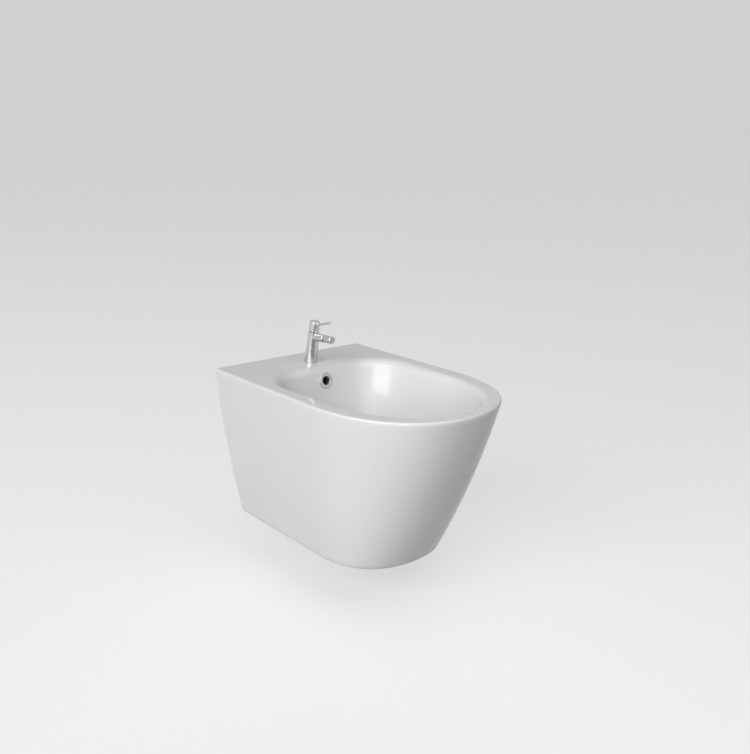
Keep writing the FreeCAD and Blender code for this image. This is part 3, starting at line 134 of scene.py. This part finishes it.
BOWL_STEPS = [(part, i / count) for part, count in ROUND_POINTS.items() for i in range(count)] + [("bow", 1)]


def bowl_outline(share, grow):
    """The bowl's wall at a share of its depth, grown outwards."""
    return mirrored_round([bowl_point(part, t, share, grow) for part, t in BOWL_STEPS])


def lip_at(part, t):
    """How far the bowl's lip rolls out over the rim and down the wall. It is widest at the rear corners."""
    tap_stretch = 0.3
    widening = {"rear": (t - tap_stretch) / (1 - tap_stretch), "corner": 1, "side": 1 - t, "bow": 0}[part]
    widening = min(max(widening, 0), 1)
    widening = widening ** 2 * (3 - 2 * widening)
    out = LIP + (WIDE_LIP_OUT - LIP) * widening
    down = LIP + (WIDE_LIP_DOWN - LIP) * widening
    if part == "rear":
        out = max(out, REAR_LIP_OUT)
    return out, down


def lip_ring(turn):
    """The roll at one angle, 90 degrees on the rim and 0 on the wall."""
    ring = []
    for part, t in BOWL_STEPS:
        out, down = lip_at(part, t)
        x, y = bowl_point(part, t, down / BOWL_DEPTH, out * (1 - math.cos(turn)))
        ring.append((x, y, RIM - down + down * math.sin(turn)))
    return [Vector(p) for p in mirrored_round(ring)]


def wall_ring(progress):
    """The bowl's wall under the lip, from the lip's foot at 0 to the bowl's floor at 1."""
    ring = []
    for part, t in BOWL_STEPS:
        lip_share = lip_at(part, t)[1] / BOWL_DEPTH
        share = lip_share + (BOWL_FLOOR_SHARE - lip_share) * progress
        ring.append((*bowl_point(part, t, share, 0), RIM - BOWL_DEPTH * share))
    return [Vector(p) for p in mirrored_round(ring)]


def ring_shell(name, rings):
    """A closed mesh from rings of equal point counts, joined by quads."""
    bm = bmesh.new()
    loops = [[bm.verts.new(p) for p in ring] for ring in rings]
    count = len(rings[0])
    for low, high in zip(loops, loops[1:]):
        for i in range(count):
            j = (i + 1) % count
            bm.faces.new((low[i], low[j], high[j], high[i]))
    bm.faces.new(list(reversed(loops[0])))
    bm.faces.new(loops[-1])
    bmesh.ops.recalc_face_normals(bm, faces=bm.faces[:])
    mesh = bpy.data.meshes.new(name)
    bm.to_mesh(mesh)
    bm.free()
    piece = bpy.data.objects.new(name, mesh)
    bpy.context.scene.collection.objects.link(piece)
    return piece


def at_height(outline, z):
    """An outline laid level at a height."""
    return [Vector((x, y, z)) for x, y in outline]


def china_block():
    """The glazed outside, the deck and the bowl as one closed block, before it is hollowed."""
    heel_steps, skirt_steps, edge_steps, lip_steps, wall_steps = 4, 44, 8, 9, 59
    rings = []
    for i in range(heel_steps):
        a = math.pi / 2 * i / heel_steps
        inset = HEEL_EDGE * (1 - math.sin(a))
        rings.append(at_height(skirt_outline(1, inset), FOOT + HEEL_EDGE * (1 - math.cos(a))))
    top = RIM_EDGE / HEIGHT
    bottom = 1 - HEEL_EDGE / HEIGHT
    for i in range(skirt_steps):
        fraction = bottom + (top - bottom) * i / skirt_steps
        rings.append(at_height(skirt_outline(fraction, 0), RIM - HEIGHT * fraction))
    for i in range(edge_steps + 1):
        a = math.pi / 2 * i / edge_steps
        inset = RIM_EDGE * (1 - math.cos(a) ** EDGE_TIGHTNESS)
        z = RIM - RIM_EDGE + RIM_EDGE * math.sin(a) ** EDGE_TIGHTNESS
        rings.append(at_height(skirt_outline(top, inset), z))
    rings += [lip_ring(math.pi / 2 * (1 - i / lip_steps)) for i in range(lip_steps + 1)]
    rings += [wall_ring(math.sin(math.pi / 2 * i / wall_steps)) for i in range(1, wall_steps + 1)]
    last = rings[-1]
    floor = RIM - BOWL_FLOOR_SHARE * BOWL_DEPTH
    seat_lip = [(0.0345, floor - 0.0004), (0.0334, floor - 0.0012), (WASTE_SEAT_RADIUS, floor - 0.0026)]
    for radius, z in seat_lip + [(WASTE_SEAT_RADIUS, WASTE_SEAT), (WASTE_HOLE_RADIUS, WASTE_SEAT)]:
        ring = []
        for p in last:
            a = math.atan2(p.y - WASTE_BACK, p.x)
            ring.append(Vector((radius * math.cos(a), WASTE_BACK + radius * math.sin(a), z)))
        rings.append(ring)
    return ring_shell("china_glazed", rings)


def china_hollow():
    """The space under the china, between the skirt and the bowl, with its falling ceiling."""
    rear_ceiling, ceiling_fall, ceiling_run = 0.076, 0.066, 0.525
    levels, first_guess = 24, 0.3
    below = FOOT - UNDER

    def ceiling(y):
        return rear_ceiling - ceiling_fall * (PAST - y) / ceiling_run

    rings = []
    for j in range(levels + 1):
        ring = []
        for i, (x, y) in enumerate(skirt_outline(first_guess, WALL, -WEB)):
            z = below + (ceiling(y) - below) * j / levels
            for _ in range(3):
                fraction = min(1.0, (RIM - z) / HEIGHT)
                x, y = skirt_outline(fraction, WALL, -WEB)[i]
                z = below + (ceiling(y) - below) * j / levels
            ring.append(Vector((x, y, z)))
        rings.append(ring)
    return ring_shell("china_hollow", rings)


def bowl_shell(name, grow):
    """The bowl's form as a closed block, grown outwards by its wall."""
    steps = 30
    shares = [math.sin(math.pi / 2 * i / steps) * BOWL_FLOOR_SHARE for i in range(steps + 1)]
    rings = [at_height(bowl_outline(s, grow), RIM - s * (BOWL_DEPTH + grow)) for s in shares]
    return ring_shell(name, list(reversed(rings)))


def stud_round(name, radius, start, end):
    """A round bar between two points, used as a boss or a drill."""
    sides = 64
    axis = (end - start).normalized()
    turn = axis.to_track_quat("Z", "Y")
    rings = []
    for centre in (start, end):
        ring = []
        for i in range(sides):
            a = 2 * math.pi * i / sides
            ring.append(centre + turn @ Vector((radius * math.cos(a), radius * math.sin(a), 0)))
        rings.append(ring)
    return ring_shell(name, rings)


def slab(name, outline, depth):
    """A flat outline pushed through by a depth vector."""
    return ring_shell(name, [outline, [p + depth for p in outline]])


def behind_bowl(grow, top, side):
    """The bowl's middle line down its back, grown outwards, from a height to the floor."""
    steps = 29
    line = []
    for i in range(steps + 1):
        share = math.sin(math.pi / 2 * i / steps) * BOWL_FLOOR_SHARE
        z = RIM - share * (BOWL_DEPTH + grow)
        if z <= top:
            line.append(Vector((side, bowl_outline(share, grow)[0][1], z)))
    return [Vector((side, line[0].y, top))] + line


def overflow_duct_block(grow, half, top):
    """The duct behind the bowl, which leads from the overflow hole down to the waste."""
    outline = behind_bowl(grow, top, -half)
    outline.append(Vector((-half, WASTE_BACK, outline[-1].z)))
    outline.append(Vector((-half, WASTE_BACK, top)))
    return slab("china_duct", outline, Vector((2 * half, 0, 0)))


def overflow_channel(half, top):
    """The water's way inside the duct, between the bowl's back and the duct's outer wall."""
    front = behind_bowl(BOWL_WALL, top, -half)
    rear = behind_bowl(BOWL_WALL + CHANNEL_GAP, top, -half)
    return slab("china_channel", front + list(reversed(rear)), Vector((2 * half, 0, 0)))


def rear_arch():
    """The opening through the web at the wall, round at its upper corners and open at the foot."""
    half, top, corner, steps = 0.058, 0.010, 0.025, 8
    outline = [Vector((-half, PAST, FOOT - 2 * UNDER))]
    for i in range(steps + 1):
        a = math.pi - math.pi / 2 * i / steps
        across, height = corner - half + corner * math.cos(a), top - corner + corner * math.sin(a)
        outline.append(Vector((across, PAST, height)))
    outline += [Vector((-p.x, p.y, p.z)) for p in reversed(outline)]
    return slab("china_arch", outline, Vector((0, -WEB - 2 * PAST, 0)))


def cut(piece, tool):
    """Cuts a form out of a piece, and removes the form."""
    step = piece.modifiers.new("cut", "BOOLEAN")
    step.operation = "DIFFERENCE"
    step.solver = "EXACT"
    step.object = tool
    bpy.context.view_layer.update()
    result = bpy.data.meshes.new_from_object(piece.evaluated_get(bpy.context.evaluated_depsgraph_get()))
    piece.modifiers.clear()
    piece.data = result
    bpy.data.objects.remove(tool)


def trim_slivers(piece):
    """Closes up the hair-thin faces that cuts leave where two seams fall on one line."""
    reach = 0.000002
    bm = bmesh.new()
    bm.from_mesh(piece.data)
    bmesh.ops.remove_doubles(bm, verts=bm.verts[:], dist=reach)
    bmesh.ops.dissolve_degenerate(bm, edges=bm.edges[:], dist=reach)
    bmesh.ops.triangulate(bm, faces=[face for face in bm.faces if len(face.verts) > 4])
    bmesh.ops.dissolve_degenerate(bm, edges=bm.edges[:], dist=reach)
    bm.to_mesh(piece.data)
    bm.free()


NEAR = 0.01
overflow_share = OVERFLOW_DROP / BOWL_DEPTH
overflow_rise = bowl_outline(overflow_share - NEAR, 0)[0][1] - bowl_outline(overflow_share + NEAR, 0)[0][1]
overflow_out = Vector((0, -1, overflow_rise / (2 * NEAR * BOWL_DEPTH))).normalized()
overflow_centre = Vector((0, bowl_outline(overflow_share, 0)[0][1], RIM - OVERFLOW_DROP))
channel_top = overflow_centre.z + OVERFLOW_RADIUS
GLAZED, BARE, DUCT = 0, 1, 2


def nodes_of(name):
    """An empty node material with its Principled shader."""
    material = bpy.data.materials.new(name)
    material.use_nodes = True
    return material, material.node_tree, material.node_tree.nodes["Principled BSDF"]


def place(tree, kind, **inputs):
    """Adds a node and sets its plain inputs by name."""
    node = tree.nodes.new(kind)
    for key, value in inputs.items():
        node.inputs[key.replace("_", " ")].default_value = value
    return node


def effect_group(name, numbers, outputs):
    """A node group with named number inputs and outputs, its two ends and the object's own place."""
    group = bpy.data.node_groups.new(name, "ShaderNodeTree")
    for label, value in numbers.items():
        socket = group.interface.new_socket(label, in_out="INPUT", socket_type="NodeSocketFloat")
        socket.default_value = value
    for label in outputs:
        group.interface.new_socket(label, in_out="OUTPUT", socket_type="NodeSocketFloat")
    where = place(group, "ShaderNodeTexCoord").outputs["Object"]
    return group, group.nodes.new("NodeGroupInput").outputs, group.nodes.new("NodeGroupOutput").inputs, where


def cloud(tree, where, size, softness):
    """A noise of a given fineness, spread to run from 0 to 1."""
    noise = place(tree, "ShaderNodeTexNoise", Detail=softness)
    spread = place(tree, "ShaderNodeMapRange")
    spread.inputs["From Min"].default_value = 0.35
    spread.inputs["From Max"].default_value = 0.65
    tree.links.new(where, noise.inputs["Vector"])
    tree.links.new(size, noise.inputs["Scale"])
    tree.links.new(noise.outputs["Fac"], spread.inputs["Value"])
    return spread.outputs["Result"]


def between(tree, mask, low, high):
    """A number that runs between two sockets as a mask runs from 0 to 1."""
    spread = place(tree, "ShaderNodeMapRange")
    tree.links.new(mask, spread.inputs["Value"])
    tree.links.new(low, spread.inputs["To Min"])
    tree.links.new(high, spread.inputs["To Max"])
    return spread.outputs["Result"]


def wear(tree, group, **values):
    """Places an effect group in a material with its own values."""
    node = tree.nodes.new("ShaderNodeGroup")
    node.node_tree = group
    for key, value in values.items():
        node.inputs[key.replace("_", " ")].default_value = value
    return node.outputs


def tint(tree, shader, mask, low, high):
    """The surface's colour runs from one tone to another as a mask does."""
    mix = tree.nodes.new("ShaderNodeMix")
    mix.data_type = "RGBA"
    mix.inputs[6].default_value = (*low, 1)
    mix.inputs[7].default_value = (*high, 1)
    tree.links.new(mask, mix.inputs[0])
    tree.links.new(mix.outputs[2], shader.inputs["Base Color"])


def relief(tree, shader, height, depth):
    """Presses a height into the surface, with its depth in metres."""
    bump = place(tree, "ShaderNodeBump", Distance=depth)
    tree.links.new(height, bump.inputs["Height"])
    tree.links.new(bump.outputs["Normal"], shader.inputs["Normal"])


# Soft clouds of a little more and less gloss, and a ripple as on glaze that has run or on hand-held polishing.
polish_haze, given, result, where = effect_group(
    "polish_haze", {"Cloud size": 20, "Ripple size": 60, "Calm": 0.08, "Hazy": 0.12},
    ["Roughness", "Ripple", "Cloud"])
clouds = cloud(polish_haze, where, given["Cloud size"], 3)
polish_haze.links.new(clouds, result["Cloud"])
polish_haze.links.new(between(polish_haze, clouds, given["Calm"], given["Hazy"]), result["Roughness"])
polish_haze.links.new(cloud(polish_haze, where, given["Ripple size"], 1), result["Ripple"])

# Fine grain of a bare or spark-eroded surface, with patches that shine a little more.
fine_grain, given, result, where = effect_group(
    "fine_grain", {"Grain size": 1500, "Patch size": 30, "Calm": 0.4, "Dull": 0.6},
    ["Roughness", "Grain", "Patch"])
patches = cloud(fine_grain, where, given["Patch size"], 4)
fine_grain.links.new(patches, result["Patch"])
fine_grain.links.new(between(fine_grain, patches, given["Calm"], given["Dull"]), result["Roughness"])
fine_grain.links.new(cloud(fine_grain, where, given["Grain size"], 2), result["Grain"])

glaze, tree, shader = nodes_of("white_glaze")
haze = wear(tree, polish_haze, Cloud_size=6, Ripple_size=34, Calm=0.13, Hazy=0.19)
tint(tree, shader, haze["Cloud"], (0.79, 0.79, 0.785), (0.81, 0.81, 0.81))
relief(tree, shader, haze["Ripple"], 0.00006)
tree.links.new(haze["Roughness"], shader.inputs["Roughness"])
shader.inputs["IOR"].default_value = 1.52

bare, tree, shader = nodes_of("bare_china")
grain = wear(tree, fine_grain, Grain_size=900, Patch_size=25, Calm=0.55, Dull=0.8)
tint(tree, shader, grain["Patch"], (0.66, 0.64, 0.60), (0.74, 0.73, 0.70))
relief(tree, shader, grain["Grain"], 0.0001)
tree.links.new(grain["Roughness"], shader.inputs["Roughness"])

# Painted shade: the overflow channel's inside is near-black, standing in for the shadow deep in the overflow
# hole. Its bare china would be as pale as the other bare faces.
duct_shade, tree, shader = nodes_of("duct_painted_shade")
grain = wear(tree, fine_grain, Grain_size=900, Patch_size=40, Calm=0.7, Dull=0.9)
tint(tree, shader, grain["Patch"], (0.035, 0.034, 0.032), (0.06, 0.058, 0.055))
relief(tree, shader, grain["Grain"], 0.0001)
tree.links.new(grain["Roughness"], shader.inputs["Roughness"])


def upright_bar(name, radius, y, low, high):
    """A round bar that stands in the middle plane."""
    return stud_round(name, radius, Vector((0, y, low)), Vector((0, y, high)))


china = china_block()
hollow = china_hollow()
channel = overflow_channel(CHANNEL_HALF, channel_top)
cut(hollow, bowl_shell("bowl_back", BOWL_WALL))
cut(hollow, overflow_duct_block(DUCT_GROW, DUCT_HALF, channel_top + DUCT_ROOF))
cut(hollow, upright_bar("waste_collar", WASTE_COLLAR_RADIUS, WASTE_BACK, WASTE_COLLAR_FOOT, WASTE_COLLAR_TOP))
cut(hollow, upright_bar("tap_boss", BOSS_RADIUS, TAP_BACK, TAP_SEAT, RIM))
for x in FIXINGS:
    end = Vector((x, -FIXING_BOSS_REACH, 0))
    cut(hollow, stud_round("fixing_boss", BOSS_RADIUS, Vector((x, PAST, 0)), end))
# The overflow channel's faces take the near-black duct material, which is painted shade.
for surface, skin in ((china, GLAZED), (hollow, BARE), (channel, DUCT)):
    surface.data.materials.clear()
    for material in (glaze, bare, duct_shade):
        surface.data.materials.append(material)
    surface.data.polygons.foreach_set("material_index", [skin] * len(surface.data.polygons))
cut(china, hollow)
cut(china, rear_arch())
cut(china, channel)
for x in FIXINGS:
    start, end = Vector((x, 2 * PAST, 0)), Vector((x, -FIXING_BOSS_REACH - FIXING_DRILL_PAST, 0))
    cut(china, stud_round("fixing_hole", FIXING_HOLE_RADIUS, start, end))
cut(china, upright_bar("tap_seat", TAP_SEAT_RADIUS, TAP_BACK, TAP_SEAT_UNDER, TAP_SEAT))
cut(china, upright_bar("tap_hole", TAP_HOLE_RADIUS, TAP_BACK, *TAP_DRILL))
cut(china, upright_bar("waste_hole", WASTE_HOLE_RADIUS, WASTE_BACK, *WASTE_DRILL))
inside = overflow_centre - overflow_out * OVERFLOW_INSIDE
outside = overflow_centre + overflow_out * OVERFLOW_OUTSIDE
cut(china, stud_round("overflow_hole", OVERFLOW_RADIUS, inside, outside))
cut(china, stud_round("overflow_seat", RING_SEAT_RADIUS, overflow_centre, outside))
trim_slivers(china)
SQUARELY, HAIR, SHARP_ANGLE = 0.95, 0.0005, 32
for face in china.data.polygons:
    at_wall = face.normal.y > SQUARELY and face.center.y > -HAIR
    at_foot = face.normal.z < -SQUARELY and face.center.z < FOOT + HAIR
    if at_wall or at_foot:
        face.material_index = BARE

china.data.polygons.foreach_set("use_smooth", [True] * len(china.data.polygons))
china.data.set_sharp_from_angle(angle=math.radians(SHARP_ANGLE))
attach(china, "bidet")
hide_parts("ceramic_body")


# The bushes and the nuts that draw the bidet to the wall: acetal bushes pushed into the two holes of the
# rear web, bright zinc plated washers and nuts on the studs. The grain of turned metal runs round it.
turned_metal, given, result, where = effect_group(
    "turned_metal", {"Pitch": 400, "Patch size": 60, "Calm": 0.2, "Dull": 0.35},
    ["Roughness", "Marks", "Patch"])
marks = turned_metal.nodes.new("ShaderNodeTexWave")
marks.bands_direction = "Z"
marks.inputs["Distortion"].default_value = 1.2
marks.inputs["Detail"].default_value = 2
turned_metal.links.new(where, marks.inputs["Vector"])
turned_metal.links.new(given["Pitch"], marks.inputs["Scale"])
patches = cloud(turned_metal, where, given["Patch size"], 4)
turned_metal.links.new(patches, result["Patch"])
turned_metal.links.new(marks.outputs["Fac"], result["Marks"])
turned_metal.links.new(between(turned_metal, patches, given["Calm"], given["Dull"]), result["Roughness"])


def moulded(name, low, high, grain_size, grain_depth, calm, dull):
    """A moulded plastic or rubber: two close tones, a fine grain and patches of a duller skin."""
    material, tree, shader = nodes_of(name)
    grain = wear(tree, fine_grain, Grain_size=grain_size, Patch_size=35, Calm=calm, Dull=dull)
    tint(tree, shader, grain["Patch"], low, high)
    relief(tree, shader, grain["Grain"], grain_depth)
    tree.links.new(grain["Roughness"], shader.inputs["Roughness"])
    return material


def machined(name, low, high, pitch, calm, dull):
    """A turned or plated metal: two close tones, tool marks round it and patches of duller metal."""
    material, tree, shader = nodes_of(name)
    marks = wear(tree, turned_metal, Pitch=pitch, Patch_size=70, Calm=calm, Dull=dull)
    tint(tree, shader, marks["Patch"], low, high)
    relief(tree, shader, marks["Marks"], 0.00002)
    tree.links.new(marks["Roughness"], shader.inputs["Roughness"])
    shader.inputs["Metallic"].default_value = 1.0
    return material


def dress(material, *names):
    """Gives CAD nodes their finish."""
    for name in names:
        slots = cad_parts[name].data.materials
        slots.clear()
        slots.append(material)


pale_acetal = moulded("pale_acetal", (0.74, 0.74, 0.69), (0.80, 0.80, 0.76), 1400, 0.00004, 0.32, 0.48)
bright_zinc = machined("bright_zinc", (0.58, 0.60, 0.63), (0.70, 0.70, 0.69), 300, 0.22, 0.38)
dress(pale_acetal, "fixing_bushes", "stem_carrier")
dress(bright_zinc, "fixing_washers", "fixing_nuts")

# Every outside piece of the tap: brass, turned and ground, polished, nickelled and chrome plated. The cap and
# its pin lever are one rigid handle, the nozzle swivels on a ball. The overflow's ring has a satin plating.
chrome, tree, shader = nodes_of("polished_chrome")
haze = wear(tree, polish_haze, Cloud_size=90, Ripple_size=220, Calm=0.19, Hazy=0.27)
tint(tree, shader, haze["Cloud"], (0.60, 0.61, 0.62), (0.67, 0.68, 0.69))
relief(tree, shader, haze["Ripple"], 0.000006)
tree.links.new(haze["Roughness"], shader.inputs["Roughness"])
shader.inputs["Metallic"].default_value = 1.0
satin_chrome, tree, shader = nodes_of("satin_chrome")
haze = wear(tree, polish_haze, Cloud_size=90, Ripple_size=220, Calm=0.42, Hazy=0.50)
tint(tree, shader, haze["Cloud"], (0.55, 0.56, 0.57), (0.61, 0.62, 0.63))
relief(tree, shader, haze["Ripple"], 0.000006)
tree.links.new(haze["Roughness"], shader.inputs["Roughness"])
shader.inputs["Metallic"].default_value = 1.0
dress(satin_chrome, "overflow_ring")
dress(chrome, "tap_body", "spout_tube", "swivel_ball", "nozzle_collar", "nozzle_shell")
dress(chrome, "dome_cover", "lever_cap", "lever_pin", "grub_plug")

# The nozzle's perforated insert is grey nylon, and black rubber rings seal the ball and the tap's foot.
grey_nylon = moulded("grey_nylon", (0.58, 0.59, 0.60), (0.66, 0.67, 0.68), 1600, 0.00004, 0.38, 0.5)
black_rubber = moulded("black_rubber", (0.035, 0.035, 0.037), (0.06, 0.06, 0.062), 2000, 0.00006, 0.55, 0.75)
dress(grey_nylon, "aerator_insert")
dress(black_rubber, "swivel_seal", "tap_base_seal")

# The cartridge inside the tap: a nylon housing with two lapped ceramic discs, a carrier that turns,
# a stainless stem on a cross pin, and the brass ring nut that holds it down.
lapped_discs, tree, shader = nodes_of("lapped_ceramic")
haze = wear(tree, polish_haze, Cloud_size=150, Ripple_size=500, Calm=0.10, Hazy=0.16)
tint(tree, shader, haze["Cloud"], (0.82, 0.80, 0.75), (0.88, 0.86, 0.82))
relief(tree, shader, haze["Ripple"], 0.000002)
tree.links.new(haze["Roughness"], shader.inputs["Roughness"])
stainless = machined("turned_stainless", (0.56, 0.56, 0.56), (0.64, 0.64, 0.63), 600, 0.16, 0.26)
brass = machined("machined_brass", (0.55, 0.42, 0.21), (0.72, 0.57, 0.30), 450, 0.2, 0.36)
dress(grey_nylon, "cartridge_housing")
dress(lapped_discs, "fixed_disc", "control_disc")
dress(stainless, "stem_pin", "cartridge_stem", "lever_grub_screw")
dress(brass, "cartridge_nut")

# What clamps the tap from under the deck: a brass stud and nut, a horseshoe gasket and a zinc plated washer.
dress(brass, "mounting_stud", "tap_nut")
dress(black_rubber, "horseshoe_gasket")
dress(bright_zinc, "horseshoe_washer")

# The click waste in the bowl's floor: a chromed brass body and plug, its brass backnut and click guide,
# and the rubber seals above and below the china and under the plug.
dress(chrome, "waste_body", "waste_plug")
dress(brass, "waste_backnut", "click_guide")
dress(black_rubber, "waste_seal_upper", "waste_seal_lower", "plug_seal")

# The bottle trap and its outlet pipe, moulded in white polypropylene, with grey rubber seals in the joints.
white_plastic = moulded("white_polypropylene", (0.74, 0.74, 0.72), (0.80, 0.80, 0.79), 1200, 0.00005, 0.36, 0.5)
grey_rubber = moulded("grey_rubber", (0.19, 0.19, 0.19), (0.25, 0.25, 0.25), 1800, 0.00006, 0.6, 0.78)
dress(white_plastic, "trap_inlet_nut", "trap_head", "trap_cup", "trap_outlet_nut", "outlet_pipe")
dress(grey_rubber, "trap_inlet_seal", "cup_seal", "trap_outlet_seal")

# The studio: a pale grey floor well under the foot, as a wall-hung bidet leaves it clear, and a pale surround
# that the camera and the polished metal see. Soft light falls from the left, the front and above, and a weak
# one from behind on the right lifts the shaded side.
SURROUND = 0.63
FAINT_LIGHT = 0.08
PAPER_LIFT = 0.56
FLOOR_LEVEL = -0.31
FLOOR_HALF = 60

floor_mesh = bpy.data.meshes.new("studio_floor")
corners = [(x * FLOOR_HALF, y * FLOOR_HALF, FLOOR_LEVEL) for x, y in ((-1, -1), (1, -1), (1, 1), (-1, 1))]
floor_mesh.from_pydata(corners, [], [(0, 1, 2, 3)])
floor = bpy.data.objects.new("studio_floor", floor_mesh)
bpy.context.scene.collection.objects.link(floor)


def seen_plainly(tree):
    """1 for what the camera, a reflection or clear glass sees, and 0 for light that falls on a surface."""
    path = tree.nodes.new("ShaderNodeLightPath")
    total = path.outputs["Is Camera Ray"]
    for kind in ("Is Glossy Ray", "Is Transmission Ray"):
        step = tree.nodes.new("ShaderNodeMath")
        step.operation = "MAXIMUM"
        tree.links.new(total, step.inputs[0])
        tree.links.new(path.outputs[kind], step.inputs[1])
        total = step.outputs[0]
    return total


paper, tree, shader = nodes_of("studio_paper")
grain = wear(tree, fine_grain, Grain_size=300, Patch_size=3, Calm=0.85, Dull=0.95)
tree.links.new(grain["Roughness"], shader.inputs["Roughness"])
seen = seen_plainly(tree)
tint(tree, shader, seen, (0.25, 0.25, 0.25), (0.45, 0.45, 0.45))
shader.inputs["Specular IOR Level"].default_value = 0.0
shader.inputs["Emission Color"].default_value = (PAPER_LIFT, PAPER_LIFT, PAPER_LIFT, 1)
tree.links.new(seen, shader.inputs["Emission Strength"])
floor_mesh.materials.append(paper)

world = bpy.data.worlds.new("studio")
world.use_nodes = True
bpy.context.scene.world = world
tree = world.node_tree
surround = tree.nodes["Background"]
surround.inputs["Color"].default_value = (SURROUND, SURROUND, SURROUND, 1)
around = place(tree, "ShaderNodeBackground", Strength=FAINT_LIGHT)
mix = tree.nodes.new("ShaderNodeMixShader")
tree.links.new(seen_plainly(tree), mix.inputs[0])
tree.links.new(around.outputs["Background"], mix.inputs[1])
tree.links.new(surround.outputs["Background"], mix.inputs[2])
tree.links.new(mix.outputs["Shader"], tree.nodes["World Output"].inputs["Surface"])


def studio_lamp(name, kind, centre, power, gleams=True):
    """A lamp that faces the middle of the bidet, and is mirrored in glaze and chrome or not."""
    lamp = bpy.data.lights.new(name, kind)
    lamp.energy = power
    holder = bpy.data.objects.new(name, lamp)
    bpy.context.scene.collection.objects.link(holder)
    holder.location = centre
    holder.visible_glossy = gleams
    holder.rotation_euler = (Vector((0, WASTE_BACK, 0)) - holder.location).to_track_quat("-Z", "Y").to_euler()
    return lamp


key = studio_lamp("key_light", "AREA", (-5.25, -2.31, 2.05), 400)
key.shape = "RECTANGLE"
key.size = 7.0
key.size_y = 5.0
front = studio_lamp("front_light", "AREA", (-0.1, -0.90, 1.00), 4.0)
front.size = 1.2
overhead = studio_lamp("overhead_light", "SUN", (0, WASTE_BACK, 3), 0.15)
overhead.angle = math.radians(36)
rear = studio_lamp("rear_light", "SUN", (3.2, 3.8, 0.75), 1.0, gleams=False)
rear.angle = math.radians(40)

# The camera stands where the photograph was taken from, seen over the left front of the bowl.
CAMERA_PLACE = Vector((-1.0195, -1.4319, 0.5297))
YAW, PITCH, ROLL = math.radians(41.2), math.radians(15.47), math.radians(0.98)
LENS = 41.44
back = Vector((-math.sin(YAW) * math.cos(PITCH), -math.cos(YAW) * math.cos(PITCH), math.sin(PITCH)))
level_right = back.cross(Vector((0, 0, -1))).normalized()
level_up = back.cross(level_right)
right = math.cos(ROLL) * level_right + math.sin(ROLL) * level_up
up = math.cos(ROLL) * level_up - math.sin(ROLL) * level_right
camera_data = bpy.data.cameras.new("photo_camera")
camera_data.lens = LENS
camera = bpy.data.objects.new("photo_camera", camera_data)
bpy.context.scene.collection.objects.link(camera)
camera.matrix_world = Matrix.Translation(CAMERA_PLACE) @ Matrix((right, up, back)).transposed().to_4x4()
bpy.context.scene.camera = camera
bpy.context.scene.view_settings.view_transform = "Standard"
